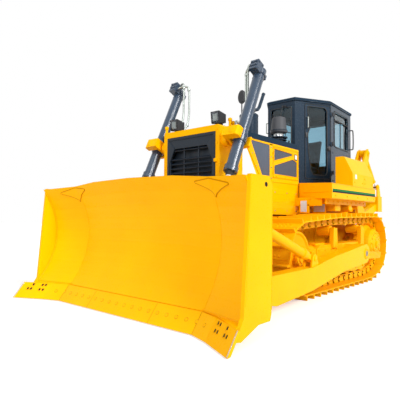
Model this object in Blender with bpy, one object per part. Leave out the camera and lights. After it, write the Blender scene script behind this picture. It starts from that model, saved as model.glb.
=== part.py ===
"""Crawler bulldozer with a semi-U blade and a rear ripper, as separate named solids.

Stations (st) are metres behind the end bits' tips, x is half width towards the
machine's left side, z is height above the ground. The nose looks along -Y.
"""
import math

import bmesh
import bpy
from mathutils import Matrix, Vector

for old in list(bpy.data.objects):
    bpy.data.objects.remove(old, do_unlink=True)

# Clearances, overruns and fineness
GAP = 0.0003
PIN_PLAY = 0.0009
EYE_PLAY = 0.0007
OVERRUN = 0.10
SINK = 0.02
MERGE = 0.00005
FINE = 36
ROUND = 28
MEDIUM = 24
SMALL = 20
TINY = 14
ARC_STEPS = 8

# Running gear
TRACK_X = 1.07
SHOE_WIDTH = 0.56
PITCH = 0.2286
LINK_HALF = 0.0625
PLATE = 0.02
GROUSER = 0.068
LOW_PITCH = GROUSER + PLATE + LINK_HALF
IDLER_PITCH_R = 0.486
IDLER = (2.93, LOW_PITCH + IDLER_PITCH_R)
SPROCKET = (5.99, 0.72)
TRUNNION = (4.67, 0.626)
SHOE_EDGE = TRACK_X + SHOE_WIDTH / 2
ARM_CLEAR = 0.05
ARM_WIDE = 0.20
ARM_X = (SHOE_EDGE + ARM_CLEAR, SHOE_EDGE + ARM_CLEAR + ARM_WIDE)
ARM_MID = (ARM_X[0] + ARM_X[1]) / 2

# Body
HULL_X = 0.50
HULL_Z = (0.46, 1.29)
HULL_ST = (1.95, 6.62)
CASE_X = 0.55
CASE_TOP = 1.58
GUARD_X = 0.575
GUARD_ST = (1.736, 2.28)
GUARD_Z = (HULL_Z[1] + GAP, 2.61)
HOOD_LONG = 1.81
HOOD_REAR = GUARD_ST[1] + HOOD_LONG
FENDER_CLEAR = 0.05
FENDER_X = (CASE_X + FENDER_CLEAR, SHOE_EDGE)
FENDER_TOP = (1.90, 1.854)
CAB_RISE = 0.015
CAB_LOW = FENDER_TOP[0] + CAB_RISE
CAB_HIGH = 1.665
CAB_Z = (CAB_LOW, CAB_LOW + CAB_HIGH)
CAB_HALF = (0.31, 0.723, 0.646)
CAB_BACK = (0.35, 1.097, 2.31)
CAB_PLAN = [(half, HOOD_REAR + back) for half, back in zip(CAB_HALF, CAB_BACK)]

# Lift cylinders and ripper: pins as (station, height)
YOKE = (1.866, 2.387)
YOKE_X = 0.85
LIFT_EYE = (1.10, 0.74)
RIPPER_OUT = 0.11
RIPPER_X = CASE_X + RIPPER_OUT
RIPPER_PIVOT = (6.80, 1.26)
RIPPER_EYE = (7.13, 2.80)
RIPPER_LUG = (7.88, 2.03)
BEAM_ST = (7.78, 8.06)
POCKET_DEEP = 0.22
LENGTH = BEAM_ST[1] + POCKET_DEEP

# Finishes: linear colour, metallic, roughness
FINISH = {
    "yellow_paint": ((0.93, 0.52, 0.004), 0.0, 0.38),
    "dark_paint": ((0.035, 0.05, 0.07), 0.0, 0.4),
    "grille_paint": ((0.02, 0.024, 0.03), 0.0, 0.5),
    "bright_rod": ((0.75, 0.76, 0.78), 1.0, 0.15),
    "track_paint": ((0.85, 0.46, 0.006), 0.0, 0.5),
    "black_plastic": ((0.012, 0.013, 0.015), 0.0, 0.5),
    "seat_vinyl": ((0.02, 0.02, 0.022), 0.0, 0.65),
    "engine_paint": ((0.10, 0.10, 0.105), 0.2, 0.55),
}
CREASE_DEG = 30.0


# Building blocks
def place(st):
    return st - LENGTH / 2


def own_material(ob, finish):
    colour, metallic, roughness = FINISH[finish]
    mat = bpy.data.materials.new(ob.name + "_" + finish)
    mat.use_nodes = True
    shader = mat.node_tree.nodes["Principled BSDF"]
    shader.inputs["Base Color"].default_value = (*colour, 1.0)
    shader.inputs["Metallic"].default_value = metallic
    shader.inputs["Roughness"].default_value = roughness
    mat.diffuse_color = (*colour, 1.0)
    ob.data.materials.clear()
    ob.data.materials.append(mat)


def from_bmesh(bm, name):
    bmesh.ops.recalc_face_normals(bm, faces=bm.faces)
    mesh = bpy.data.meshes.new(name)
    bm.to_mesh(mesh)
    bm.free()
    ob = bpy.data.objects.new(name, mesh)
    bpy.context.collection.objects.link(ob)
    return ob


def loft(sections, name="tool"):
    """Closed body through rings of world points, each ring with as many points."""
    bm = bmesh.new()
    rings = []
    for ring in sections:
        rings.append([bm.verts.new((x, place(st), z)) for x, st, z in ring])
    for one, two in zip(rings, rings[1:]):
        for i in range(len(one)):
            j = (i + 1) % len(one)
            bm.faces.new((one[i], one[j], two[j], two[i]))
    bm.faces.new(rings[0])
    bm.faces.new(rings[-1])
    return from_bmesh(bm, name)


def prism_x(x0, x1, outline):
    """Side outline of (st, z) points, drawn out between two x."""
    return loft([[(x, st, z) for st, z in outline] for x in (x0, x1)])


def prism_y(st0, st1, outline):
    """Front outline of (x, z) points, drawn out between two stations."""
    return loft([[(x, st, z) for x, z in outline] for st in (st0, st1)])


def prism_z(z0, z1, outline):
    """Plan outline of (x, st) points, drawn out between two heights."""
    return loft([[(x, st, z) for x, st in outline] for z in (z0, z1)])


def box(x, st, z):
    """Block from three (low, high) pairs."""
    return prism_x(x[0], x[1], [(st[0], z[0]), (st[1], z[0]), (st[1], z[1]), (st[0], z[1])])


def shaped(low, high, shares):
    """Outline points, given as shares of the box between two corners."""
    return [(low[0] + (high[0] - low[0]) * u, low[1] + (high[1] - low[1]) * v) for u, v in shares]


def stepped(start, end, radius, shares):
    """Turned profile, given as shares of its length and of its largest radius."""
    return [(start + (end - start) * u, radius * v) for u, v in shares]


def even(profile):
    """Turned profile carried on past its middle as its own mirror image."""
    return profile + [(-along, radius) for along, radius in reversed(profile)]


def turned(centre, axis, profile, steps=ROUND):
    """Solid of revolution from (along, radius) pairs about an axis."""
    axis = Vector(axis).normalized()
    side = axis.orthogonal().normalized()
    if abs(axis.x) > 1 - MERGE:
        side = Vector((0, 0, 1))
    other = axis.cross(side)
    origin = Vector(centre)
    rings = []
    for along, radius in profile:
        ring = []
        for i in range(steps):
            turn = 2 * math.pi * (i + 0.5) / steps
            spoke = side * math.cos(turn) + other * math.sin(turn)
            ring.append(tuple(origin + axis * along + spoke * radius))
        rings.append(ring)
    return loft(rings)


def rod(start, end, radius, steps=ROUND):
    """Round bar between two points."""
    run = Vector(end) - Vector(start)
    return turned(start, run, [(0, radius), (run.length, radius)], steps)


def pin(x0, x1, centre, radius, steps=SMALL):
    """Round bar across the machine, its centre a (station, height) pair."""
    return rod((x0, *centre), (x1, *centre), radius, steps)


def bar(start, end, half_width, half_height):
    """Flat-sided bar between two points, its width along x."""
    run = (Vector(end) - Vector(start)).normalized()
    wide = Vector((1, 0, 0)) - run * run.x
    wide.normalize()
    tall = run.cross(wide)
    rings = []
    for point in (start, end):
        ring = []
        for a, b in ((-1, -1), (1, -1), (1, 1), (-1, 1)):
            ring.append(tuple(Vector(point) + wide * a * half_width + tall * b * half_height))
        rings.append(ring)
    return loft(rings)


def combine(ob, tools, operation):
    for tool in tools:
        step = ob.modifiers.new("step", "BOOLEAN")
        step.operation = operation
        step.solver = "EXACT"
        step.object = tool
        bpy.context.view_layer.update()
        depsgraph = bpy.context.evaluated_depsgraph_get()
        mesh = bpy.data.meshes.new_from_object(ob.evaluated_get(depsgraph))
        ob.modifiers.remove(step)
        old = ob.data
        ob.data = mesh
        bpy.data.meshes.remove(old)
        bpy.data.objects.remove(tool, do_unlink=True)
    return ob


def join(ob, *tools):
    return combine(ob, tools, "UNION")


def cut(ob, *tools):
    return combine(ob, tools, "DIFFERENCE")


def finish(ob, name, material, origin=None):
    """Names a solid, cleans it, gives it its material and its origin."""
    ob.name = name
    ob.data.name = name
    bm = bmesh.new()
    bm.from_mesh(ob.data)
    bmesh.ops.remove_doubles(bm, verts=bm.verts, dist=MERGE)
    bmesh.ops.dissolve_degenerate(bm, edges=bm.edges, dist=MERGE)
    bmesh.ops.recalc_face_normals(bm, faces=bm.faces)
    for face in bm.faces:
        face.smooth = True
    bm.to_mesh(ob.data)
    bm.free()
    ob.data.set_sharp_from_angle(angle=math.radians(CREASE_DEG))
    own_material(ob, material)
    if origin:
        at = Vector((origin[0], place(origin[1]), origin[2]))
        ob.data.transform(Matrix.Translation(-at))
        ob.location = at
    return ob


def mirrored(tool):
    tool.data.transform(Matrix.Diagonal((-1, 1, 1, 1)))
    tool.data.flip_normals()
    return tool


def pair_of(build):
    """A tool and its mirror image across the machine."""
    return [build(), mirrored(build())]


def both(build, base, material, origin=None):
    """Builds a left piece (+x) and its mirror on the right."""
    for side, suffix in ((1, "_left"), (-1, "_right")):
        ob = build()
        if side < 0:
            mirrored(ob)
        at = (side * origin[0], origin[1], origin[2]) if origin else None
        finish(ob, base + suffix, material, at)


def arc(centre, radius, start_deg, end_deg, steps=ARC_STEPS):
    """Points on an arc in the plane of the outline."""
    points = []
    for i in range(steps + 1):
        turn = math.radians(start_deg + (end_deg - start_deg) * i / steps)
        points.append((centre[0] + radius * math.cos(turn), centre[1] + radius * math.sin(turn)))
    return points


# Tracks
STRAND = (0.045, 0.095)
TEETH = 27
TOOTH_ROOT = 0.036
TOOTH_TIP = 0.014
ROLLERS = 7
ROLLER_ENDS = (0.48, 0.48)
ROLLER_R = 0.12
CARRIERS = (4.12, 5.38)
CARRIER_R = 0.09
CARRIER_LIFT = (1.1925, 1.2045)
HULL_STEPS = 720
HALVINGS = 40
TRIM_SHARE = 0.02
# share of a link's pitch, share of the grouser's height
SHOE_SHARES = ((0.02, 0), (0.10, 0), (0.13, 1), (0.22, 1), (0.28, 0), (0.98, 0))

SPROCKET_PITCH_R = PITCH / 2 / math.sin(2 * math.pi / TEETH)
ROLLER_Z = LOW_PITCH + LINK_HALF + ROLLER_R + GAP
ROLLER_FIRST = IDLER[0] + ROLLER_ENDS[0]
ROLLER_LAST = SPROCKET[0] - ROLLER_ENDS[1]
ROLLER_SPACING = (ROLLER_LAST - ROLLER_FIRST) / (ROLLERS - 1)


def hull_path():
    """Taut loop around idler, sprocket, carriers and rollers, as dense points."""
    cloud = []
    for i in range(HULL_STEPS):
        turn = 2 * math.pi * i / HULL_STEPS
        for (st, z), radius in ((IDLER, IDLER_PITCH_R), (SPROCKET, SPROCKET_PITCH_R)):
            cloud.append((st + radius * math.cos(turn), z + radius * math.sin(turn)))
    cloud += list(zip(CARRIERS, CARRIER_LIFT))
    cloud += [(ROLLER_FIRST, LOW_PITCH), (ROLLER_LAST + PITCH, LOW_PITCH)]
    cloud.sort()

    def half(points):
        chain = []
        for p in points:
            while len(chain) > 1:
                (ax, az), (bx, bz) = chain[-2], chain[-1]
                if (bx - ax) * (p[1] - az) - (bz - az) * (p[0] - ax) > 0:
                    break
                chain.pop()
            chain.append(p)
        return chain[:-1]
    return half(cloud) + half(reversed(cloud))


def walk(path, pitch, links):
    """Steps chords of one pitch along the loop from its rear; returns pins and overrun."""
    begin = max(range(len(path)), key=lambda i: path[i][0])
    loop = path[begin:] + path[:begin]
    pins = [loop[0]]
    passed = 0
    for _ in range(links):
        here = Vector(pins[-1])
        start = here
        while (Vector(loop[(passed + 1) % len(loop)]) - here).length < pitch:
            passed += 1
            start = Vector(loop[passed % len(loop)])
        run = Vector(loop[(passed + 1) % len(loop)]) - start
        low, high = 0.0, 1.0
        for _ in range(HALVINGS):
            mid = (low + high) / 2
            if (start + run * mid - here).length < pitch:
                low = mid
            else:
                high = mid
        pins.append(tuple(start + run * high))
    over = math.dist(pins[-1], loop[0])
    return pins[:-1], over if passed >= len(loop) else -over


def chain_pins():
    """Pins of the loop, with the pitch trimmed so that whole links close it."""
    path = hull_path()
    around = sum(math.dist(a, b) for a, b in zip(path, path[1:] + path[:1]))
    links = round(around / PITCH)
    low, high = (1 - TRIM_SHARE) * around / links, (1 + TRIM_SHARE) * around / links
    for _ in range(HALVINGS):
        mid = (low + high) / 2
        if walk(path, mid, links)[1] > 0:
            high = mid
        else:
            low = mid
    return walk(path, low, links)[0]


PINS = chain_pins()


def track():
    """One closed loop: shoes with a grouser each, on two strands of links."""
    count = len(PINS)
    pins = [Vector(p) for p in PINS]
    runs = [(pins[(i + 1) % count] - pins[i]) for i in range(count)]
    outs = [Vector((r.y, -r.x)).normalized() for r in runs]
    mitres = []
    for i in range(count):
        bisector = (outs[i - 1] + outs[i]).normalized()
        mitres.append(bisector / bisector.dot(outs[i]))
    bm = bmesh.new()

    def vert(x, p):
        return bm.verts.new((TRACK_X + x, place(p.x), p.y))

    half = SHOE_WIDTH / 2
    lines = (-half, -STRAND[1], -STRAND[0], STRAND[0], STRAND[1], half)
    mids = [[vert(x, pins[i] + mitres[i] * LINK_HALF) for x in lines] for i in range(count)]
    inns = [[vert(x, pins[i] - mitres[i] * LINK_HALF) for x in lines[1:5]] for i in range(count)]
    last = len(SHOE_SHARES) - 1
    shoes = []
    for i in range(count):
        points = []
        for along_share, high_share in SHOE_SHARES:
            out = LINK_HALF + PLATE + GROUSER * high_share
            points.append(pins[i] + runs[i] * along_share + outs[i] * out)
        shoes.append([[vert(x, p) for p in points] for x in (-half, half)])
    for i in range(count):
        j = (i + 1) % count
        low, high = shoes[i]
        for a in range(last):
            bm.faces.new((low[a], low[a + 1], high[a + 1], high[a]))
        bm.faces.new((low[-1], shoes[j][0][0], shoes[j][1][0], high[-1]))
        bm.faces.new([mids[i][0]] + low + [mids[j][0]])
        bm.faces.new([mids[i][5]] + high + [mids[j][5]])
        bm.faces.new((low[-1], shoes[j][0][0], mids[j][0]))
        bm.faces.new((high[-1], shoes[j][1][0], mids[j][5]))
        for a in (0, 2, 4):
            bm.faces.new((mids[i][a], mids[j][a], mids[j][a + 1], mids[i][a + 1]))
        for a in (0, 2):
            bm.faces.new((inns[i][a], inns[j][a], inns[j][a + 1], inns[i][a + 1]))
        for a in range(4):
            bm.faces.new((mids[i][a + 1], mids[j][a + 1], inns[j][a], inns[i][a]))
    return from_bmesh(bm, "track")


RAIL_HALF = (0.132, 0.152)
TREAD_OVER = 0.008
FLANGE_PLAY = 0.007
FLANGE_HIGH = 0.022
IDLER_HUB_R = (0.10, 0.13)
IDLER_DISH = (0.035, 0.02)
IDLER_RIM_R = (0.36, 0.38)


def idler():
    """Front wheel: two treads for the strands and a flange that runs between them."""
    mid = math.sqrt(IDLER_PITCH_R ** 2 - (PITCH / 2) ** 2)
    tread = mid - LINK_HALF - GAP
    wide = STRAND[1] + TREAD_OVER
    thin = STRAND[0] - FLANGE_PLAY
    profile = [(-RAIL_HALF[0] + GAP, IDLER_HUB_R[0]), (-wide + IDLER_DISH[0], IDLER_HUB_R[1]),
               (-wide + IDLER_DISH[1], IDLER_RIM_R[0]), (-wide, IDLER_RIM_R[1]), (-wide, tread),
               (-thin, tread), (-thin, tread + FLANGE_HIGH)]
    return turned((TRACK_X, *IDLER), (1, 0, 0), even(profile), FINE)


TOOTH_PLAY = 0.006
# share of the step between teeth, share of a tooth's height
TOOTH_SHARES = ((-0.22, 0), (0.22, 0), (0.40, 1), (0.60, 1))
DRIVE_HALF = (0.26, 0.27)
DRIVE_R = 0.40
# share of the drive's width, share of its radius
DRIVE_SHARES = ((0, 0.55), (0.30, 0.75), (0.49, 1), (0.60, 1), (0.70, 0.83), (0.87, 0.78), (0.96, 0.68),
                (0.96, 0.50), (1, 0.45))


def sprocket():
    """Toothed ring with the final drive's stepped housing on its outer side."""
    half = STRAND[0] - TOOTH_PLAY
    root = SPROCKET_PITCH_R - TOOTH_ROOT
    rear = max(PINS)
    phase = math.atan2(rear[1] - SPROCKET[1], rear[0] - SPROCKET[0])
    step = 2 * math.pi / TEETH
    outline = []
    for i in range(TEETH):
        for share, height_share in TOOTH_SHARES:
            turn = phase + (i + share) * step
            radius = root + (TOOTH_ROOT + TOOTH_TIP) * height_share
            outline.append((SPROCKET[0] + radius * math.cos(turn), SPROCKET[1] + radius * math.sin(turn)))
    ring = prism_x(TRACK_X - half, TRACK_X + half, outline)
    profile = stepped(-DRIVE_HALF[0], DRIVE_HALF[1], DRIVE_R, DRIVE_SHARES)
    return join(ring, turned((TRACK_X, *SPROCKET), (1, 0, 0), profile, ROUND))


# Track frame
FRAME_ST = (3.42, 5.465)
FRAME_Z = (0.47, 0.80)
FRAME_HALF = 0.15
FRAME_SHARES = ((0, 0), (1, 0), (1, 0.82), (0.98, 1), (0.09, 1), (0, 0.70))
RAIL_REACH = 0.10
RAIL_LOW = 0.26
RAIL_LAP = 0.04
RAIL_Z = (RAIL_LOW, FRAME_Z[0] + RAIL_LAP)
RAIL_SHARES = ((0, 0.16), (0.04, 0), (0.96, 0), (1, 0.16), (1, 1), (0, 1))
FORK_LEAD = 0.12
FORK_ROOT = 0.05
FORK_Z = (0.50, 0.76)
FORK_SHARES = ((0, 0.23), (1, 0), (1, 1), (0, 0.85))
ROLLER_HALF = (0.14, 0.12)
ROLLER_HUB_R = 0.05
ROLLER_WAIST_R = 0.09
CARRIER_HALF = 0.11
CARRIER_PLAY = 0.006
CARRIER_PIN_R = 0.06
POST_X = (0.125, 0.20)
POST_HALF = (0.09, 0.07)
POST_TOP = 0.05
FOOT_X = (-0.05, 0.20)
FOOT_DEEP = 0.06
TRUNNION_R = 0.09
TRUNNION_BOSS_R = 0.155
ARM_PLAY = 0.012
SKIRT_Z = (0.44, 0.66)
SKIRT_ENDS = (0.05, 0.11)
SKIRT_ST = (TRUNNION[0] + SKIRT_ENDS[0], SPROCKET[0] + SKIRT_ENDS[1])
SKIRT_THICK = 0.023
SKIRT_SHARES = ((0, 0.27), (0.93, 0), (1, 0.27), (1, 0.55), (0, 1))


def carrier(st, lift):
    """Return roller with the post and foot that carry it."""
    z = lift - LINK_HALF - CARRIER_R - CARRIER_PLAY
    high = FRAME_Z[1]
    (low_half, top_half), (x0, x1) = POST_HALF, POST_X
    post = [(st - low_half, high - SINK), (st + low_half, high - SINK), (st + top_half, z + POST_TOP),
            (st - top_half, z + POST_TOP)]
    return [
        pin(TRACK_X - CARRIER_HALF, TRACK_X + CARRIER_HALF, (st, z), CARRIER_R, TINY),
        pin(TRACK_X + CARRIER_HALF - SINK, TRACK_X + x1 - SINK, (st, z), CARRIER_PIN_R, TINY),
        prism_x(TRACK_X + x0, TRACK_X + x1, post),
        box((TRACK_X + FOOT_X[0], TRACK_X + FOOT_X[1]), (st - low_half, st + low_half),
            (high - FOOT_DEEP, high + SINK)),
    ]


def track_frame():
    """Roller frame with its rollers, carriers, idler fork and push-arm trunnion."""
    x0, x1 = TRACK_X - FRAME_HALF, TRACK_X + FRAME_HALF
    body = prism_x(x0, x1, shaped((FRAME_ST[0], FRAME_Z[0]), (FRAME_ST[1], FRAME_Z[1]), FRAME_SHARES))
    rail = shaped((ROLLER_FIRST - RAIL_REACH, RAIL_Z[0]), (ROLLER_LAST + RAIL_REACH, RAIL_Z[1]), RAIL_SHARES)
    fork = shaped((IDLER[0] - FORK_LEAD, FORK_Z[0]), (FRAME_ST[0] + FORK_ROOT, FORK_Z[1]), FORK_SHARES)
    tools = []
    for side in (-1, 1):
        near, far = sorted((TRACK_X + side * RAIL_HALF[0], TRACK_X + side * RAIL_HALF[1]))
        tools += [prism_x(near, far, rail), prism_x(near, far, fork)]
    profile = [(-ROLLER_HALF[0], ROLLER_HUB_R), (-ROLLER_HALF[1], ROLLER_R), (-STRAND[0], ROLLER_R),
               (-STRAND[0], ROLLER_WAIST_R)]
    for i in range(ROLLERS):
        at = (TRACK_X, ROLLER_FIRST + i * ROLLER_SPACING, ROLLER_Z)
        tools.append(turned(at, (1, 0, 0), even(profile), TINY))
    for st, lift in zip(CARRIERS, CARRIER_LIFT):
        tools += carrier(st, lift)
    inner = ARM_X[0] - ARM_PLAY
    tools.append(pin(x1 - SINK, inner, TRUNNION, TRUNNION_BOSS_R, SMALL))
    tools.append(pin(inner - SINK, ARM_X[1] + ARM_PLAY, TRUNNION, TRUNNION_R, MEDIUM))
    skirt = shaped((SKIRT_ST[0], SKIRT_Z[0]), (SKIRT_ST[1], SKIRT_Z[1]), SKIRT_SHARES)
    tools.append(prism_x(inner - SKIRT_THICK, inner, skirt))
    return join(body, *tools)


both(track, "track", "track_paint")
both(idler, "idler", "yellow_paint")
both(sprocket, "sprocket", "yellow_paint")
both(track_frame, "track_frame", "yellow_paint")

# Main frame
HULL_SHARES = ((0, 0.41), (0.10, 0), (0.96, 0), (1, 0.30), (1, 1), (0, 1))
CROSS_BEAM = (3.95, 0.68)
CROSS_HALF = (0.13, 0.08)
CROSS_SHARES = ((0, 0), (1, 0), (0.88, 1), (0.12, 1))
SHAFT = (5.25, 0.62)
SHAFT_R = 0.10
AXLE_R = 0.20
CASE_BACK = 0.19
CASE_ST = (HOOD_REAR + CASE_BACK, HULL_ST[1])
TOWER_X = 0.45
TOWER_INSET = (0.18, 0.10)
TOWER_ST = (CAB_PLAN[0][1] + TOWER_INSET[0], CAB_PLAN[2][1] - TOWER_INSET[1])
TOWER_DEEP = 0.08
RIPPER_PIN_R = 0.05
RIPPER_EYE_PIN_R = 0.035
BRACKET_HALF = (0.075, 0.115)
BRACKET_LAP = (0.17, 0.16)
BRACKET_EDGE = (0.10, 0.11)
BRACKET_LOW = (HULL_ST[1] - BRACKET_LAP[0], RIPPER_PIVOT[1] - BRACKET_LAP[1])
BRACKET_HIGH = (RIPPER_EYE[0] + BRACKET_EDGE[0], RIPPER_EYE[1] + BRACKET_EDGE[1])
BRACKET_SHARES = ((0.09, 0), (0.56, 0.02), (0.56, 0.155), (0.37, 0.275), (1, 0.92), (0.90, 1), (0.76, 0.97),
                  (0.065, 0.525), (0, 0.195))
WEB_LAP = (0.16, 0.05)
WEB_ST = (HULL_ST[1] - WEB_LAP[0], HULL_ST[1] + WEB_LAP[1])
WEB_Z = (1.45, 2.05)
WEB_HALF = 0.10
WEB_SHARES = ((0, 0), (1, 0), (1, 0.25), (0.52, 1), (0.24, 1))
REAR_BEAM_LAP = (0.28, 0.02)
REAR_BEAM_ST = (HULL_ST[1] - REAR_BEAM_LAP[0], HULL_ST[1] - REAR_BEAM_LAP[1])
REAR_BEAM_DEEP = (0.18, 0.005)
REAR_BEAM_Z = (CASE_TOP - REAR_BEAM_DEEP[0], CASE_TOP - REAR_BEAM_DEEP[1])


def ripper_bracket(x):
    """Two leaning plates with a web between them, and the pins for arm and cylinder."""
    plate = shaped(BRACKET_LOW, BRACKET_HIGH, BRACKET_SHARES)
    near, far = BRACKET_HALF
    tools = [pin(x - far, x + far, RIPPER_PIVOT, RIPPER_PIN_R, MEDIUM),
             pin(x - far, x + far, RIPPER_EYE, RIPPER_EYE_PIN_R, SMALL),
             prism_x(x - far, x - near, plate), prism_x(x + near, x + far, plate)]
    web = shaped((WEB_ST[0], WEB_Z[0]), (WEB_ST[1], WEB_Z[1]), WEB_SHARES)
    tools.append(prism_x(x - WEB_HALF, x + WEB_HALF, web))
    return tools


def main_frame():
    """Case and rails, equaliser beam, pivot shaft, final-drive arms, rear brackets."""
    low, high = HULL_Z
    front, rear = HULL_ST
    body = prism_x(-HULL_X, HULL_X, shaped((front, low), (rear, high), HULL_SHARES))
    end = TRACK_X - FRAME_HALF - GAP
    drive = TRACK_X - DRIVE_HALF[0] - GAP
    cross = shaped((CROSS_BEAM[0] - CROSS_HALF[0], CROSS_BEAM[1] - CROSS_HALF[1]),
                   (CROSS_BEAM[0] + CROSS_HALF[0], CROSS_BEAM[1] + CROSS_HALF[1]), CROSS_SHARES)
    tools = [
        prism_x(-end, end, cross),
        pin(-end, end, SHAFT, SHAFT_R, MEDIUM),
        pin(-drive, drive, SPROCKET, AXLE_R, ROUND),
        box((-CASE_X, CASE_X), CASE_ST, (high - OVERRUN, CASE_TOP)),
        box((-TOWER_X, TOWER_X), TOWER_ST, (CASE_TOP - TOWER_DEEP, CAB_Z[0] - GAP)),
        box((-RIPPER_X, RIPPER_X), REAR_BEAM_ST, REAR_BEAM_Z),
    ]
    for x in (-RIPPER_X, RIPPER_X):
        tools += ripper_bracket(x)
    return join(body, *tools)


finish(main_frame(), "main_frame", "yellow_paint")

# Engine, radiator and guard
ENGINE_X = 0.40
ENGINE_ENDS = (0.12, 0.14)
ENGINE_ST = (GUARD_ST[1] + ENGINE_ENDS[0], HOOD_REAR - ENGINE_ENDS[1])
ENGINE_TOP = 2.25
GUARD_CHAMFER_SHARES = ((0, 0), (1, 0), (1, 0.98), (0.975, 1), (0.025, 1), (0, 0.98))
GUARD_WALL = 0.04
GUARD_FOOT = 0.98
FOOT_INSET = 0.02
GRILLE_X = 0.50
GRILLE_Z = (1.35, 2.515)
CORE_FRONT = 1.84
YOKE_WALL = (-0.16, -0.11)
YOKE_PLAY = 0.03
PIVOT_R = 0.055
PIVOT_BOSS_R = 0.10
PIVOT_END = 0.005

finish(box((-ENGINE_X, ENGINE_X), ENGINE_ST, (HULL_Z[1] + GAP, ENGINE_TOP)), "engine", "engine_paint")


def radiator_guard():
    """Box round the radiator, open in front for the grille, with the lift forks' pins."""
    (low, high), (front, rear) = GUARD_Z, GUARD_ST
    body = prism_y(front, rear, shaped((-GUARD_X, low), (GUARD_X, high), GUARD_CHAMFER_SHARES))
    body = cut(body, box((-GRILLE_X, GRILLE_X), (front - OVERRUN, rear - GUARD_WALL), GRILLE_Z))
    tools = [box((-HULL_X, HULL_X), (front + FOOT_INSET, HULL_ST[0] - GAP), (GUARD_FOOT, low + GUARD_WALL))]
    for side in (-1, 1):
        root = side * (GUARD_X - SINK)
        tools.append(pin(root, side * (YOKE_X + YOKE_WALL[0] - YOKE_PLAY), YOKE, PIVOT_BOSS_R, MEDIUM))
        tools.append(pin(root, side * (YOKE_X + YOKE_WALL[1] + PIVOT_END), YOKE, PIVOT_R, SMALL))
    return join(body, *tools)


finish(radiator_guard(), "radiator_guard", "yellow_paint")
CORE_X = GRILLE_X - GAP
CORE_ST = (CORE_FRONT, GUARD_ST[1] - GUARD_WALL - GAP)
CORE_Z = (GRILLE_Z[0] + GAP, GRILLE_Z[1] - GAP)
finish(box((-CORE_X, CORE_X), CORE_ST, CORE_Z), "radiator_core", "grille_paint")

GRILLE_INSET = 0.004
GRILLE_DEEP = 0.05
GRILLE_EDGE = (0.07, 0.05, 0.185)
GRILLE_PANE = (GRILLE_X - GRILLE_EDGE[0], GRILLE_Z[0] + GRILLE_EDGE[1], GRILLE_Z[1] - GRILLE_EDGE[2])
GRILLE_PANE_SHARES = ((0, 0), (1, 0), (1, 0.86), (0.885, 1), (0.115, 1), (0, 0.86))
SLATS = 13
SLAT_FIRST = 0.085
SLAT_SPACING = 0.072
SLAT_HALF = (0.45, 0.36)
SLAT_NARROW_Z = 2.19
SLAT_ST = (0.008, 0.045)
SLAT_Z = (-0.01, 0.026)
SLAT_SHARES = ((0, 0.28), (0.11, 0), (1, 0.72), (0.89, 1))
UPRIGHT_X = 0.15
UPRIGHT_HALF = 0.012


def radiator_grille():
    """Dark frame with level slats and two upright bars."""
    low, high = CORE_Z
    front = GUARD_ST[0] + GRILLE_INSET
    pane_x, pane_low, pane_high = GRILLE_PANE
    body = box((-CORE_X, CORE_X), (front, front + GRILLE_DEEP), (low, high))
    pane = shaped((-pane_x, pane_low), (pane_x, pane_high), GRILLE_PANE_SHARES)
    body = cut(body, prism_y(front - OVERRUN, front + GRILLE_DEEP + OVERRUN, pane))
    tools = []
    for i in range(SLATS):
        z = low + SLAT_FIRST + i * SLAT_SPACING
        half = SLAT_HALF[0] if z < SLAT_NARROW_Z else SLAT_HALF[1]
        slat = shaped((front + SLAT_ST[0], z + SLAT_Z[0]), (front + SLAT_ST[1], z + SLAT_Z[1]), SLAT_SHARES)
        tools.append(prism_x(-half, half, slat))
    for centre in (-UPRIGHT_X, UPRIGHT_X):
        tools.append(box((centre - UPRIGHT_HALF, centre + UPRIGHT_HALF), (front + SINK, front + SLAT_ST[1]),
                         (low + SINK, pane_high + SINK)))
    return join(body, *tools)


finish(radiator_grille(), "radiator_grille", "grille_paint")

# Hood
PANEL = 0.03
PANEL_LOW = 1.31
KNUCKLE_R = 0.011
KNUCKLE = 0.05
KNUCKLE_STEPS = 12
STRAP_HALF = 0.004


def knuckle(axis, z, reach):
    """Half of a hinge at a height: a barrel on the axis with a strap towards reach."""
    along = (Vector(reach) - Vector(axis)).normalized()
    side = Vector((along.y, -along.x)) * STRAP_HALF
    a, b = Vector(axis), Vector(reach)
    strap = prism_z(z, z + KNUCKLE, [tuple(a - side), tuple(a + side), tuple(b + side), tuple(b - side)])
    barrel = turned((axis[0], axis[1], z), (0, 0, 1), [(0, KNUCKLE_R), (KNUCKLE, KNUCKLE_R)], KNUCKLE_STEPS)
    return join(barrel, strap)


DOOR_LONG = 0.888
DOOR_TAIL = 0.012
DOOR_ST = (HOOD_REAR - DOOR_TAIL - DOOR_LONG, HOOD_REAR - DOOR_TAIL)
DOOR_Z = (1.935, 2.475)
DOOR_GAP = 0.004
DOOR_HINGE = (0.013, 0.002)
DOOR_AXIS = (GUARD_X + DOOR_HINGE[0], DOOR_ST[0] - DOOR_HINGE[1])
STRAP_SINK = 0.01
DOOR_STRAP_X = GUARD_X - STRAP_SINK
HOOD_STRAP = 0.035
DOOR_STRAP = 0.04
DOOR_KNUCKLE_SHARES = (0.10, 0.73)
DOOR_KNUCKLES = [DOOR_Z[0] + (DOOR_Z[1] - DOOR_Z[0]) * share for share in DOOR_KNUCKLE_SHARES]
RECESS = 0.012
UPPER_FIELD_SHARES = ((0.056, 0.926), (0.056, 0.556), (0.752, 0.833), (0.752, 0.889))
LOWER_FIELD_SHARES = ((0.056, 0.13), (0.056, 0.389), (0.775, 0.704), (0.944, 0.63), (0.944, 0.13))


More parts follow.
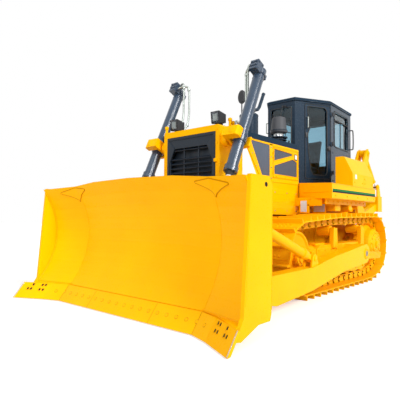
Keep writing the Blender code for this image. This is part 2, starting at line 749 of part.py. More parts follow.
def hood():
    """Top sheet and side sheets over the engine, open where the engine doors hang."""
    high = GUARD_Z[1]
    front = GUARD_ST[1] + GAP
    body = box((-GUARD_X, GUARD_X), (front, HOOD_REAR), (PANEL_LOW, high))
    inner = GUARD_X - PANEL
    body = cut(body, box((-inner, inner), (front - OVERRUN, HOOD_REAR - PANEL),
                         (PANEL_LOW - OVERRUN, high - PANEL)))
    wide = GUARD_X + OVERRUN
    body = cut(body, box((-wide, wide), (DOOR_ST[0] - DOOR_GAP, DOOR_ST[1] + DOOR_GAP),
                         (DOOR_Z[0] - DOOR_GAP, DOOR_Z[1] + DOOR_GAP)))
    reach = (DOOR_STRAP_X, DOOR_AXIS[1] - HOOD_STRAP)
    for z in DOOR_KNUCKLES:
        low = z - KNUCKLE - EYE_PLAY
        body = join(body, *pair_of(lambda: knuckle(DOOR_AXIS, low, reach)))
    return body


finish(hood(), "hood", "yellow_paint")


def engine_door():
    """Side door with two recessed mesh fields either side of a slanting bar."""
    low, high = (DOOR_ST[0], DOOR_Z[0]), (DOOR_ST[1], DOOR_Z[1])
    body = box((GUARD_X - PANEL, GUARD_X), DOOR_ST, DOOR_Z)
    fields = [prism_x(GUARD_X - RECESS, GUARD_X + OVERRUN, shaped(low, high, shares))
              for shares in (UPPER_FIELD_SHARES, LOWER_FIELD_SHARES)]
    body = cut(body, *fields)
    reach = (DOOR_STRAP_X, DOOR_AXIS[1] + DOOR_STRAP)
    return join(body, *[knuckle(DOOR_AXIS, z, reach) for z in DOOR_KNUCKLES])


both(engine_door, "engine_door", "yellow_paint", (*DOOR_AXIS, sum(DOOR_Z) / 2))

EXHAUST_AHEAD = 0.79
EXHAUST_ST = HOOD_REAR - EXHAUST_AHEAD
SILENCER_HIGH = 0.56
SILENCER_R = 0.17
SILENCER_SHARES = ((0, 0.70), (0.05, 0.70), (0.05, 1), (0.90, 1), (0.965, 0.70), (1, 0.41))
TAIL_R = 0.032
TAIL_STEPS = 16
# bends of the tail pipe: station behind the silencer, height above its top
TAIL_BACK = (0.0, 0.10, 0.29, 0.345, 0.494)
TAIL_LIFT = (-0.05, 0.045, 0.11, 0.17, 0.455)


def exhaust_stack():
    """Upright silencer with a thin tail pipe, swept back and then up."""
    base = GUARD_Z[1] + GAP
    top = base + SILENCER_HIGH
    profile = stepped(0, SILENCER_HIGH, SILENCER_R, SILENCER_SHARES)
    body = turned((0, EXHAUST_ST, base), (0, 0, 1), profile, ROUND)
    rings = []
    bends = list(zip(TAIL_BACK, TAIL_LIFT))
    for i, (back, lift) in enumerate(bends):
        before = Vector(bends[max(i - 1, 0)])
        after = Vector(bends[min(i + 1, len(bends) - 1)])
        run = (after - before).normalized()
        ring = []
        for k in range(TAIL_STEPS):
            turn = 2 * math.pi * (k + 0.5) / TAIL_STEPS
            out, away = TAIL_R * math.cos(turn), TAIL_R * math.sin(turn)
            ring.append((out, EXHAUST_ST + back - run.y * away, top + lift + run.x * away))
        rings.append(ring)
    return join(body, loft(rings))


finish(exhaust_stack(), "exhaust_stack", "dark_paint")

CLEANER_X = 0.22
CLEANER_AHEAD = 0.11
CLEANER = (CLEANER_X, HOOD_REAR - CLEANER_AHEAD)
CLEANER_HIGH = 0.55
CLEANER_R = 0.165
CLEANER_SHARES = ((0, 0.52), (0.44, 0.52), (0.47, 0.94), (0.53, 1), (0.56, 0.91), (0.95, 0.79), (1, 0.70))


def air_precleaner():
    """Round pre-cleaner cap on its intake pipe."""
    profile = stepped(0, CLEANER_HIGH, CLEANER_R, CLEANER_SHARES)
    return turned((*CLEANER, GUARD_Z[1] + GAP), (0, 0, 1), profile, ROUND)


finish(air_precleaner(), "air_precleaner", "dark_paint")

LAMP_X = 0.43
LAMP_BACK = 0.17
LAMP_FOOT = (0.04, 0.06)
LAMP_HALF = 0.075
LAMP_ST = (-0.10, 0.07)
LAMP_Z = (0.04, 0.22)
LAMP_SHARES = ((0.12, 0), (1, 0.11), (1, 0.83), (0, 1))


def work_lamp():
    """Boxed work lamp on a short foot, standing on the guard's top."""
    x, st = LAMP_X, GUARD_ST[0] + LAMP_BACK
    z = GUARD_Z[1] + GAP
    half, high = LAMP_FOOT
    foot = box((x - half, x + half), (st - half, st + half), (z, z + high))
    head = shaped((st + LAMP_ST[0], z + LAMP_Z[0]), (st + LAMP_ST[1], z + LAMP_Z[1]), LAMP_SHARES)
    return join(foot, prism_x(x - LAMP_HALF, x + LAMP_HALF, head))


both(work_lamp, "work_lamp", "black_plastic")

MIRROR_X = -0.25
MIRROR_BACK = 0.13
MIRROR_Z = 3.527
MIRROR_HALF = (0.085, 0.13)
MIRROR_STALK_R = 0.012
MIRROR_DEEP = 0.05
# share of the shell's depth, share of its outline
MIRROR_SHARES = ((0, 0.7), (0.3, 1), (0.8, 1), (1, 0.85))


def rear_mirror():
    """Oval mirror on a stalk that stands on the hood's top."""
    x, st = MIRROR_X, EXHAUST_ST + MIRROR_BACK
    half_x, half_z = MIRROR_HALF
    stalk = rod((x, st, GUARD_Z[1] + GAP), (x, st, MIRROR_Z), MIRROR_STALK_R, TINY)
    rings = []
    for deep_share, share in MIRROR_SHARES:
        ring = []
        for i in range(MEDIUM):
            turn = 2 * math.pi * i / MEDIUM
            ring.append((x + half_x * share * math.cos(turn), st + MIRROR_DEEP * (deep_share - 1 / 2),
                         MIRROR_Z + half_z * share * math.sin(turn)))
        rings.append(ring)
    return join(stalk, loft(rings))


finish(rear_mirror(), "rear_mirror", "black_plastic")

# Fenders and side tanks
FENDER_AHEAD = (0.02, 0.29)
FENDER_FRONT = (HOOD_REAR - FENDER_AHEAD[0], HOOD_REAR - FENDER_AHEAD[1])
FENDER_LOW = (1.616, 1.585)
FENDER_EDGE = (0.03, 0.05)
FENDER_LIP = 0.06
TIE_ENDS = (0.31, 1.61)
TIE_ST = (HOOD_REAR + TIE_ENDS[0], HOOD_REAR + TIE_ENDS[1])
TIE_Z = (1.46, 1.64)
TANK_WIDE = 0.33
TANK_X = (FENDER_X[1] - TANK_WIDE, FENDER_X[1])
TANK_ENDS = (0.62, 1.69)
TANK_ST = (HOOD_REAR + TANK_ENDS[0], HOOD_REAR + TANK_ENDS[1])
TANK_TOP = 2.42
TANK_SLOPE = (0.15, 0.33)
TANK_SHOULDER = (FENDER_X[1] - TANK_SLOPE[0], TANK_TOP - TANK_SLOPE[1])
TANK_EDGE = (0.03, 0.02)
FENDER_TAIL = 0.12
FENDER_REAR = TANK_ST[1] + FENDER_TAIL


def fender():
    """Platform beside the cab, its front edge swept back towards the hood."""
    small, large = FENDER_EDGE
    rings = []
    for x, front, low, top in zip(FENDER_X, FENDER_FRONT, FENDER_LOW, FENDER_TOP):
        rings.append([(x, front, low), (x, FENDER_REAR - large, low), (x, FENDER_REAR, low + FENDER_LIP),
                      (x, FENDER_REAR, top - small), (x, FENDER_REAR - small, top), (x, front, top)])
    return join(loft(rings), box((CASE_X + GAP, FENDER_X[0] + SINK), TIE_ST, TIE_Z))


both(fender, "fender", "yellow_paint")


def side_tank():
    """Tank on the platform with its outer shoulder sloped."""
    x0, x1 = TANK_X
    knee, shoulder = TANK_SHOULDER
    edge_x, edge_z = TANK_EDGE

    def under(x):
        share = (x - FENDER_X[0]) / (FENDER_X[1] - FENDER_X[0])
        return FENDER_TOP[0] + (FENDER_TOP[1] - FENDER_TOP[0]) * share + GAP
    outline = [(x0, under(x0)), (x1, under(x1)), (x1, shoulder), (knee, TANK_TOP - edge_z),
               (knee - edge_x, TANK_TOP), (x0, TANK_TOP)]
    return prism_y(TANK_ST[0], TANK_ST[1], outline)


both(side_tank, "side_tank", "yellow_paint")

# Cab: openings as shares of its height, so that they follow it
CAB_WALL = 0.06
CAB_FLOOR = 0.05
FLOOR_TOP = CAB_Z[0] + CAB_FLOOR + GAP
ROOF_HIGH = 0.08
ROOF_TOP = CAB_Z[1] + ROOF_HIGH
ROOF_EDGE = 0.03
ROOF_INSETS = (-0.015, -0.02, 0.03)
WALL_RUN = math.dist(CAB_PLAN[0], CAB_PLAN[1])
SIDE_RUN = math.dist(CAB_PLAN[1], CAB_PLAN[2])
DOOR_ENDS = (0.225, 0.0086)
DOOR_SPAN = (DOOR_ENDS[0], WALL_RUN - DOOR_ENDS[1])
CAB_DOOR_SHARES = (0.069, 0.982)
CAB_DOOR_Z = (CAB_Z[0] + CAB_HIGH * CAB_DOOR_SHARES[0], CAB_Z[0] + CAB_HIGH * CAB_DOOR_SHARES[1])
CAB_DOOR_GAP = 0.006
FRONT_PANE_INSET = 0.06
FRONT_PANE_SHARES = ((0.02, 0.261), (0.98, 0.261), (1, 0.94), (0, 0.94))
REAR_PANE_INSET = 0.146
REAR_PANE_SHARES = ((0, 0.321), (1, 0.321), (1, 0.928), (0, 0.928))
SIDE_PANE_INSET = (0.17, 0.185)
SIDE_PANE_SHARES = (0.483, 0.946)
CAB_HINGE = (0.003, 0.018)
CAB_KNUCKLE_SHARES = (0.085, 0.474, 0.875)
CAB_KNUCKLES = [CAB_DOOR_Z[0] + (CAB_DOOR_Z[1] - CAB_DOOR_Z[0]) * share for share in CAB_KNUCKLE_SHARES]
SHELL_STRAP = (0.02, 0.03)
CAB_STRAP = (0.05, 0.004)
WINDOW_INSET = (0.065, 0.085)
WINDOW_MARGIN = (0.08, 0.05)
WINDOW_SHARES = ((0, 1), (0, 0.90), (0.096, 0.82), (0.096, 0.676), (0, 0.60), (0.02, 0.353), (0.15, 0.065),
                 (0.277, 0), (0.915, 0), (1, 0.036), (1, 0.957), (0.87, 1))


def cab_plan(inset=0.0):
    """Six-sided plan, moved in by the wall where asked."""
    (a, front), (b, mid), (c, rear) = CAB_PLAN
    lines = []
    corners = [(a, front), (b, mid), (c, rear), (-c, rear), (-b, mid), (-a, front)]
    for p, q in zip(corners, corners[1:] + corners[:1]):
        run = (Vector(q) - Vector(p)).normalized()
        normal = Vector((-run.y, run.x))
        lines.append((Vector(p) + normal * inset, run))
    moved = []
    for (p, r), (q, s) in zip(lines[-1:] + lines[:-1], lines):
        t = ((q - p).x * s.y - (q - p).y * s.x) / (r.x * s.y - r.y * s.x)
        moved.append(tuple(p + r * t))
    return moved


def wall_point(p, q, along, away):
    """Plan point on the wall from p to q: along it, and out of its face."""
    run = (Vector(q) - Vector(p)).normalized()
    return tuple(Vector(p) + run * along + Vector((run.y, -run.x)) * away)


def wall_box(p, q, span, z, depth):
    """Block let through the wall from p to q: span along it, depth (out, in)."""
    corners = [(span[0], depth[0]), (span[1], depth[0]), (span[1], depth[1]), (span[0], depth[1])]
    return prism_z(z[0], z[1], [wall_point(p, q, along, away) for along, away in corners])


def on_door_wall(along, away):
    return wall_point(CAB_PLAN[0], CAB_PLAN[1], along, away)


CAB_AXIS = on_door_wall(DOOR_SPAN[1] + CAB_HINGE[0], CAB_HINGE[1])
THROUGH = (CAB_WALL + SINK, -CAB_WALL - SINK)


def cab_shell():
    """Cab walls with window and door openings, and the floor."""
    low, high = CAB_Z
    body = prism_z(low, high, cab_plan())
    body = cut(body, prism_z(low + CAB_FLOOR, high + OVERRUN, cab_plan(CAB_WALL)))
    (a, front), (b, mid), (c, rear) = CAB_PLAN
    wide, back = a - FRONT_PANE_INSET, c - REAR_PANE_INSET
    door_span = (DOOR_SPAN[0] - CAB_DOOR_GAP, DOOR_SPAN[1] + CAB_DOOR_GAP)
    door_z = (CAB_DOOR_Z[0] - CAB_DOOR_GAP, CAB_DOOR_Z[1] + CAB_DOOR_GAP)
    pane_span = (SIDE_PANE_INSET[0], SIDE_RUN - SIDE_PANE_INSET[1])
    pane_z = (low + CAB_HIGH * SIDE_PANE_SHARES[0], low + CAB_HIGH * SIDE_PANE_SHARES[1])
    tools = [
        prism_y(front - OVERRUN, front + OVERRUN, shaped((-wide, low), (wide, high), FRONT_PANE_SHARES)),
        prism_y(rear - OVERRUN, rear + OVERRUN, shaped((-back, low), (back, high), REAR_PANE_SHARES)),
    ]
    tools += pair_of(lambda: wall_box((a, front), (b, mid), door_span, door_z, THROUGH))
    tools += pair_of(lambda: wall_box((b, mid), (c, rear), pane_span, pane_z, THROUGH))
    body = cut(body, *tools)
    reach = on_door_wall(DOOR_SPAN[1] + SHELL_STRAP[0], -SHELL_STRAP[1])
    for z in CAB_KNUCKLES:
        under = z - KNUCKLE - EYE_PLAY
        body = join(body, *pair_of(lambda: knuckle(CAB_AXIS, under, reach)))
    return body


finish(cab_shell(), "cab_shell", "dark_paint")


def cab_roof():
    levels = (CAB_Z[1] + GAP, ROOF_TOP - ROOF_EDGE, ROOF_TOP)
    return loft([[(x, st, z) for x, st in cab_plan(inset)] for z, inset in zip(levels, ROOF_INSETS)])


finish(cab_roof(), "cab_roof", "dark_paint")


def cab_door():
    """Door as thick as the wall, with its tall window cut out."""
    body = wall_box(CAB_PLAN[0], CAB_PLAN[1], DOOR_SPAN, CAB_DOOR_Z, (0, -CAB_WALL))
    low = (DOOR_SPAN[0] + WINDOW_INSET[0], CAB_DOOR_Z[0] + WINDOW_MARGIN[0])
    high = (DOOR_SPAN[1] - WINDOW_INSET[1], CAB_DOOR_Z[1] - WINDOW_MARGIN[1])
    window = shaped(low, high, WINDOW_SHARES)
    body = cut(body, loft([[(*on_door_wall(along, away), z) for along, z in window] for away in THROUGH]))
    reach = on_door_wall(DOOR_SPAN[1] - CAB_STRAP[0], -CAB_STRAP[1])
    return join(body, *[knuckle(CAB_AXIS, z, reach) for z in CAB_KNUCKLES])


both(cab_door, "cab_door", "dark_paint", (*CAB_AXIS, sum(CAB_DOOR_Z) / 2))

SEAT_X = (0.18, 0.25, 0.24)
# stations behind the cab's front
SEAT_ST = (0.66, 1.22)
SEAT_BASE_ST = (0.81, 1.16)
SEAT_BACK_ST = (1.12, 1.42)
# heights from the cab's floor, as shares of the cab's height
SEAT_HEIGHT_SHARES = (0.141, 0.261)
SEAT_BASE_TOP_SHARE = 0.171
SEAT_BACK_HEIGHT_SHARES = (0.201, 0.622)
CUSHION_SHARES = ((0.04, 0.20), (1, 0), (1, 0.80), (0, 1))
BACK_SHARES = ((0, 0), (0.40, 0), (1, 0.97), (0.67, 1))


def in_cab(share):
    """Height above the cab's floor, as a share of the cab's height."""
    return FLOOR_TOP + CAB_HIGH * share


def operator_seat():
    """Seat cushion, back and pedestal."""
    base_x, cushion_x, back_x = SEAT_X
    low, high = [in_cab(share) for share in SEAT_HEIGHT_SHARES]
    back_low, back_high = [in_cab(share) for share in SEAT_BACK_HEIGHT_SHARES]
    (base_front, base_rear), (front, rear), (back_front, back_rear) = [
        [CAB_PLAN[0][1] + st for st in span] for span in (SEAT_BASE_ST, SEAT_ST, SEAT_BACK_ST)]
    base = box((-base_x, base_x), (base_front, base_rear), (FLOOR_TOP, in_cab(SEAT_BASE_TOP_SHARE)))
    cushion = shaped((front, low), (rear, high), CUSHION_SHARES)
    back = shaped((back_front, back_low), (back_rear, back_high), BACK_SHARES)
    return join(base, prism_x(-cushion_x, cushion_x, cushion), prism_x(-back_x, back_x, back))


finish(operator_seat(), "operator_seat", "seat_vinyl")

CONSOLE_X = 0.20
CONSOLE_BACK = (0.12, 0.40)
CONSOLE_TOP_SHARE = 0.489
CONSOLE_SHARES = ((0, 0), (0.79, 0), (0.64, 0.66), (1, 0.85), (0.36, 1), (0, 0.78))


def control_console():
    """Instrument stand under the windscreen."""
    front, rear = [CAB_PLAN[0][1] + back for back in CONSOLE_BACK]
    corners = ((front, FLOOR_TOP), (rear, in_cab(CONSOLE_TOP_SHARE)))
    return prism_x(-CONSOLE_X, CONSOLE_X, shaped(*corners, CONSOLE_SHARES))


finish(control_console(), "control_console", "black_plastic")

# Blade
EDGE_Z = (0.013, 0.229)
EDGE_THICK = 0.04
EDGE_RUN = 0.172
SHEET = 0.03
SHEET_LOW = 0.08
SHEET_STEP = 0.004
SHEET_START = EDGE_Z[1] + SHEET_STEP
SHEET_FEET = (0.07, 0.01)
SHEET_CLEAR = 0.0008
SHEET_ROWS = 9
SAG = 0.32
DEEP_Z = 1.0
WING_INSET = 0.075
WING_X = ARM_X[0] - WING_INSET
BIT_X = ARM_X[1]
BIT_WIDE = 0.465
BIT_END = BIT_X + BIT_WIDE
SIDE_INSET = (0.11, 0.065)
SIDE_X = (BIT_END - SIDE_INSET[0], BIT_END - SIDE_INSET[1])
SIDE_SINK = 0.01
MID_X = 0.80
# rows of the blade: x, edge's lower station, deepest station, top height
LINE_X = (0.0, MID_X, WING_X, BIT_X, BIT_END)
LINE_EDGE_ST = (0.344, 0.344, 0.344, 0.242, 0.0)
LINE_DEEP_ST = (0.850, 0.850, 0.850, 0.766, 0.625)
LINE_TOP_Z = (1.765, 1.750, 1.710, 1.695, 1.67)
BLADE_LINES = list(zip(LINE_X, LINE_EDGE_ST, LINE_DEEP_ST, LINE_TOP_Z))


def line_at(x):
    """Row of the blade's table at a width, worked out between its rows."""
    x = abs(x)
    for one, two in zip(BLADE_LINES, BLADE_LINES[1:]):
        if x <= two[0]:
            share = (x - one[0]) / (two[0] - one[0])
            return [a + (b - a) * share for a, b in zip(one, two)][1:]
    return BLADE_LINES[-1][1:]


def face_st(x, z):
    """Station of the mouldboard's front face."""
    return line_at(x)[1] - SAG * ((z - DEEP_Z) / (DEEP_Z - EDGE_Z[1])) ** 2


EDGE_RISE = EDGE_Z[1] - EDGE_Z[0]
EDGE_LENGTH = math.hypot(EDGE_RUN, EDGE_RISE)
EDGE_TOP = EDGE_Z[1] - EDGE_THICK * EDGE_RUN / EDGE_LENGTH


def edge_back(x, z):
    """Station of the cutting edge's rear face."""
    rear_top = line_at(x)[0] + EDGE_RUN + EDGE_THICK * EDGE_RISE / EDGE_LENGTH
    return rear_top + (z - EDGE_TOP) * EDGE_RUN / EDGE_RISE


def edge_ring(x):
    low = line_at(x)[0]
    return [(x, low, EDGE_Z[0]), (x, low + EDGE_RUN, EDGE_Z[1]), (x, edge_back(x, EDGE_TOP), EDGE_TOP),
            (x, edge_back(x, EDGE_Z[0]), EDGE_Z[0])]


def blade_ring(x):
    """Section of the sheet at a width: up its front face, down its back."""
    top = line_at(x)[2]
    front = [(edge_back(x, z) + SHEET_CLEAR, z) for z in (SHEET_LOW, EDGE_TOP)]
    heights = [SHEET_START + (top - SHEET_START) * i / SHEET_ROWS for i in range(SHEET_ROWS + 1)]
    front += [(face_st(x, z), z) for z in heights]
    back = [(face_st(x, z) + SHEET, z) for z in reversed(heights)]
    knee = max(edge_back(x, EDGE_TOP), face_st(x, EDGE_Z[1])) + SHEET + SHEET_FEET[1]
    back += [(knee, EDGE_TOP), (edge_back(x, SHEET_LOW) + SHEET_FEET[0], SHEET_LOW)]
    return [(x, st, z) for st, z in front + back]


BAND_CHAMFER = 0.04


def band_ring(x, heights, rear):
    """Section of a box behind the sheet, its front inside the sheet."""
    shift = line_at(x)[1] - BLADE_LINES[0][2]
    back = (heights[-1] - BAND_CHAMFER, heights[0] + BAND_CHAMFER)
    return [(x, face_st(x, z) + SHEET / 2, z) for z in heights] + [(x, rear + shift, z) for z in back]


# Boxes behind the sheet: heights of their section, station of their rear face
LOW_BAND_Z = (0.26, 0.40, 0.54)
LOW_BAND_REAR = 0.99
TOP_BAND_Z = (1.22, 1.36, 1.50, 1.62)
TOP_BAND_REAR = 0.93
RIB_Z = (0.40, 0.70, 1.0, 1.30)
RIB_REAR = 0.92
RIB_X = (0.62, 1.30)
RIB_HALF = 0.02
SIDE_PLATE_LOW = (0.215, 0.075)
SIDE_PLATE_HIGH = (0.857, 1.692)
SIDE_PLATE_SHARES = ((0.38, 1), (0.20, 0.133), (0, 0.009), (0.13, 0), (0.60, 0.068), (0.93, 0.068),
                     (0.97, 0.108), (1, 0.943), (0.91, 1))
ARM_PIN = (1.12, 0.34)
BRACE_TOP = (1.09, 1.24)
BRACE_FOOT = (2.72, 0.665)
LUG_INNER = 0.08
LUG_SPREAD = 0.05
# middle of each plate from the eye's middle, pin, radius, station of its root, thickness
LIFT_PLATE = 0.03
LUG_AWAY_X = (LUG_INNER + LIFT_PLATE / 2, 0.125, 0.125)
LUG_EYE_R = (0.085, 0.11, 0.09)
LUG_ROOT_ST = (0.86, 0.90, 0.85)
LUG_THICK = (LIFT_PLATE, 0.035, 0.03)
LIFT_EYE_PLATE, ARM_EYE_PLATE, BRACE_EYE_PLATE = zip(
    LUG_AWAY_X, (LIFT_EYE, ARM_PIN, BRACE_TOP), LUG_EYE_R, LUG_ROOT_ST, LUG_THICK)
ARM_PIN_R = 0.045
BRACE_PIN_R = 0.04
BLADE_PIN_HALF = 0.13


def eye_plates(x, plate):
    """Pair of lugs from the blade's back, rounded about their pin."""
    away, centre, radius, root, thick = plate
    st, z = centre
    outline = [(root, z - radius - LUG_SPREAD)] + arc(centre, radius, -80, 80)
    outline.append((root, z + radius + LUG_SPREAD))
    return [prism_x(x + a - thick / 2, x + a + thick / 2, outline) for a in (-away, away)]


def blade():
    """Mouldboard with end plates, rear boxes, ribs and lugs."""
    half = SIDE_X[0] + SIDE_SINK
    rows = list(LINE_X[1:-1])
    stations = [-half] + [-x for x in reversed(rows)] + [0] + rows + [half]
    body = loft([blade_ring(x) for x in stations])
    wide = (-half, -WING_X, WING_X, half)
    tools = [loft([band_ring(x, LOW_BAND_Z, LOW_BAND_REAR) for x in wide]),
             loft([band_ring(x, TOP_BAND_Z, TOP_BAND_REAR) for x in wide])]
    plate = shaped(SIDE_PLATE_LOW, SIDE_PLATE_HIGH, SIDE_PLATE_SHARES)
    for side in (-1, 1):
        for x in RIB_X:
            tools.append(loft([band_ring(side * x + a, RIB_Z, RIB_REAR) for a in (-RIB_HALF, RIB_HALF)]))
        near, far = sorted((side * SIDE_X[0], side * SIDE_X[1]))
        tools.append(prism_x(near, far, plate))
        tools += eye_plates(side * YOKE_X, LIFT_EYE_PLATE)
        x = side * ARM_MID
        for plates, radius in ((ARM_EYE_PLATE, ARM_PIN_R), (BRACE_EYE_PLATE, BRACE_PIN_R)):
            tools += eye_plates(x, plates)
            tools.append(pin(x - BLADE_PIN_HALF, x + BLADE_PIN_HALF, plates[1], radius))
    return join(body, *tools)


BLADE_ORIGIN = (0, *TRUNNION)
finish(blade(), "blade", "yellow_paint", BLADE_ORIGIN)
EDGE_ROWS = (-BIT_X, -WING_X, WING_X, BIT_X)
finish(loft([edge_ring(x) for x in EDGE_ROWS]), "cutting_edge", "yellow_paint", BLADE_ORIGIN)
both(lambda: loft([edge_ring(x) for x in (BIT_X + GAP, BIT_END)]), "end_bit", "yellow_paint", BLADE_ORIGIN)

# Push arms: outlines as shares of the run from the arm's nose to the trunnion
ARM_NOSE = (1.20, 0.155)
ARM_LOWER_SHARES = ((0, 0.17), (0.12, 0), (0.40, 0.15), (0.733, 0.52))
ARM_UPPER_SHARES = ((0.644, 1.09), (0.405, 0.834), (0.09, 0.81), (0, 0.616))
ARM_TAIL_R = 0.17
NOSE_R = 0.095
NOSE_SIDE = 0.01
NOSE_ROOT = (0.20, 0.09)
BRACE_LUG = (0.12, 0.14, 0.135)
BRACE_LUG_R = 0.07
BRACE_LUG_AWAY = 0.06
BRACE_LUG_HALF = 0.0125
FOOT_PIN_R = 0.03
FOOT_PIN_HALF = 0.07


def arm_body():
    tail = arc(TRUNNION, ARM_TAIL_R, -75, 80)
    lower = shaped(ARM_NOSE, TRUNNION, ARM_LOWER_SHARES)
    return prism_x(ARM_X[0], ARM_X[1], lower + tail + shaped(ARM_NOSE, TRUNNION, ARM_UPPER_SHARES))


def push_arm():
    """Box-section arm from the blade's lower pin to the trunnion, with the brace lug."""
    root_st, root_half = ARM_NOSE[0] + NOSE_ROOT[0], NOSE_ROOT[1]
    nose = arc(ARM_PIN, NOSE_R, 60, 300)
    nose += [(root_st, ARM_PIN[1] - root_half), (root_st, ARM_PIN[1] + root_half)]
    ahead, behind, deep = BRACE_LUG
    lug = [(BRACE_FOOT[0] - ahead, BRACE_FOOT[1] - deep), (BRACE_FOOT[0] + behind, BRACE_FOOT[1] - deep)]
    lug += arc(BRACE_FOOT, BRACE_LUG_R, -10, 170)
    tools = [prism_x(ARM_X[0] + NOSE_SIDE, ARM_X[1] - NOSE_SIDE, nose)]
    for x in (ARM_MID - BRACE_LUG_AWAY, ARM_MID + BRACE_LUG_AWAY):
        tools.append(prism_x(x - BRACE_LUG_HALF, x + BRACE_LUG_HALF, lug))
    tools.append(pin(ARM_MID - FOOT_PIN_HALF, ARM_MID + FOOT_PIN_HALF, BRACE_FOOT, FOOT_PIN_R, TINY))
    body = join(arm_body(), *tools)
    x0, x1 = ARM_X[0] - OVERRUN, ARM_X[1] + OVERRUN
    return cut(body, pin(x0, x1, TRUNNION, TRUNNION_R + PIN_PLAY, MEDIUM),
               pin(x0, x1, ARM_PIN, ARM_PIN_R + PIN_PLAY))


both(push_arm, "push_arm", "yellow_paint", BLADE_ORIGIN)

STRUT_EYE_HALF = (0.10, 0.045)
STRUT_EYE_R = (0.085, 0.06)
# pin, half width of the eye, its radius, the pin's radius, sides of the bore
STRUT_EYES = (
    (BRACE_TOP, STRUT_EYE_HALF[0], STRUT_EYE_R[0], BRACE_PIN_R, SMALL),
    (BRACE_FOOT, STRUT_EYE_HALF[1], STRUT_EYE_R[1], FOOT_PIN_R, TINY),
)
STRUT_ENDS = (0.05, 0.17)
STRUT_NECK = (0.20, 0.035)
STRUT_NECK_HALF = (0.042, 0.04)
STRUT_R = (0.07, 0.045)
EYE_BORE_PLAY = 0.0005
TILT_BARREL = (0.25, 1.05)
TILT_BARREL_R = 0.095


def strut(radius, barrel=None):
    """Round strut with an eye at each end, between the arm's lug and the blade."""
    top = Vector((ARM_MID, *BRACE_TOP))
    foot = Vector((ARM_MID, *BRACE_FOOT))
    run = (foot - top).normalized()
    body = rod(top + run * STRUT_ENDS[0], foot - run * STRUT_ENDS[1], radius, MEDIUM)
    tools = [bar(foot - run * STRUT_NECK[0], foot - run * STRUT_NECK[1], *STRUT_NECK_HALF)]
    bores = []
    for end, half, eye_r, pin_r, steps in STRUT_EYES:
        tools.append(pin(ARM_MID - half, ARM_MID + half, end, eye_r))
        wide = half + OVERRUN
        bores.append(pin(ARM_MID - wide, ARM_MID + wide, end, pin_r + EYE_BORE_PLAY, steps))
    if barrel:
        tools.append(rod(top + run * barrel[0], top + run * barrel[1], TILT_BARREL_R, MEDIUM))
    return cut(join(body, *tools), *bores)


finish(strut(STRUT_R[0]), "blade_brace_left", "yellow_paint", BLADE_ORIGIN)
finish(mirrored(strut(STRUT_R[1], TILT_BARREL)), "tilt_cylinder_right", "yellow_paint", BLADE_ORIGIN)

# Lift cylinders: distances along the cylinder's line from the fork's pivot
LIFT_START = Vector((YOKE_X, *YOKE))
LIFT_END = Vector((YOKE_X, *LIFT_EYE))
LIFT_RUN = (LIFT_END - LIFT_START).normalized()
LIFT_FORE = Vector((0, LIFT_RUN.z, -LIFT_RUN.y))
LIFT_TOP = 1.21
LIFT_BOTTOM = 0.52
BARREL_R = 0.085
BARREL_CAP = 0.03
BORE_R = 0.055
ROD_R = 0.045
ROD_TOP = 0.06
COLLAR_R = 0.098
COLLAR_HALF = 0.07
GLAND = (0.05, 0.04)
GLAND_R = 0.10
HEAD_R = 0.095
HEAD_SPAN = (-0.012, 0.07)
PORT_FORE = 0.111
PORT_SPAN = (-0.07, 0.10)
PORT_HALF = (0.07, 0.075)
TAIL_PORT_FORE = -0.075
TAIL_PORT_SPAN = (0.005, 0.085)
TAIL_PORT_HALF = (0.05, 0.045)
LIFT_EYE_R = 0.075
YOKE_OUT = 0.10
YOKE_FRONT = (0.105, 0.215)
YOKE_REAR = (-0.105, -0.165)
YOKE_HALF = 0.075
YOKE_CORNER = 0.03
YOKE_PIN_R = 0.04
YOKE_PIN_ENDS = (-0.155, 0.185)
YOKE_BORE_END = 0.19


def lift_point(along, fore=0.0, out=0.0):
    """Point beside the cylinder's line: along it, in front of it, and outwards."""
    return LIFT_START + LIFT_RUN * along + LIFT_FORE * fore + Vector((out, 0, 0))


def lift_yoke():
    """Fork round the barrel: a wall on the guard's pin, a block in front and an ear behind."""
    inner, outer = YOKE_WALL
    (front, nose), (rear, tail) = YOKE_FRONT, YOKE_REAR
    corner = YOKE_CORNER
    plan = [(inner, tail), (YOKE_OUT - corner, tail), (YOKE_OUT, tail + corner), (YOKE_OUT, rear),
            (outer, rear), (outer, front), (YOKE_OUT, front), (YOKE_OUT, nose - corner),
            (YOKE_OUT - corner, nose), (inner, nose)]
    ends = (-YOKE_HALF, YOKE_HALF)
    body = loft([[tuple(lift_point(along, fore, out)) for out, fore in plan] for along in ends])
    pivot = pin(YOKE_X + inner - OVERRUN, YOKE_X + outer + SINK, YOKE, PIVOT_R + PIN_PLAY)
    carry = rod(lift_point(0, tail - OVERRUN), lift_point(0, YOKE_BORE_END), YOKE_PIN_R + PIN_PLAY, SMALL)
    return cut(body, pivot, carry)


both(lift_yoke, "lift_yoke", "yellow_paint", (YOKE_X, *YOKE))


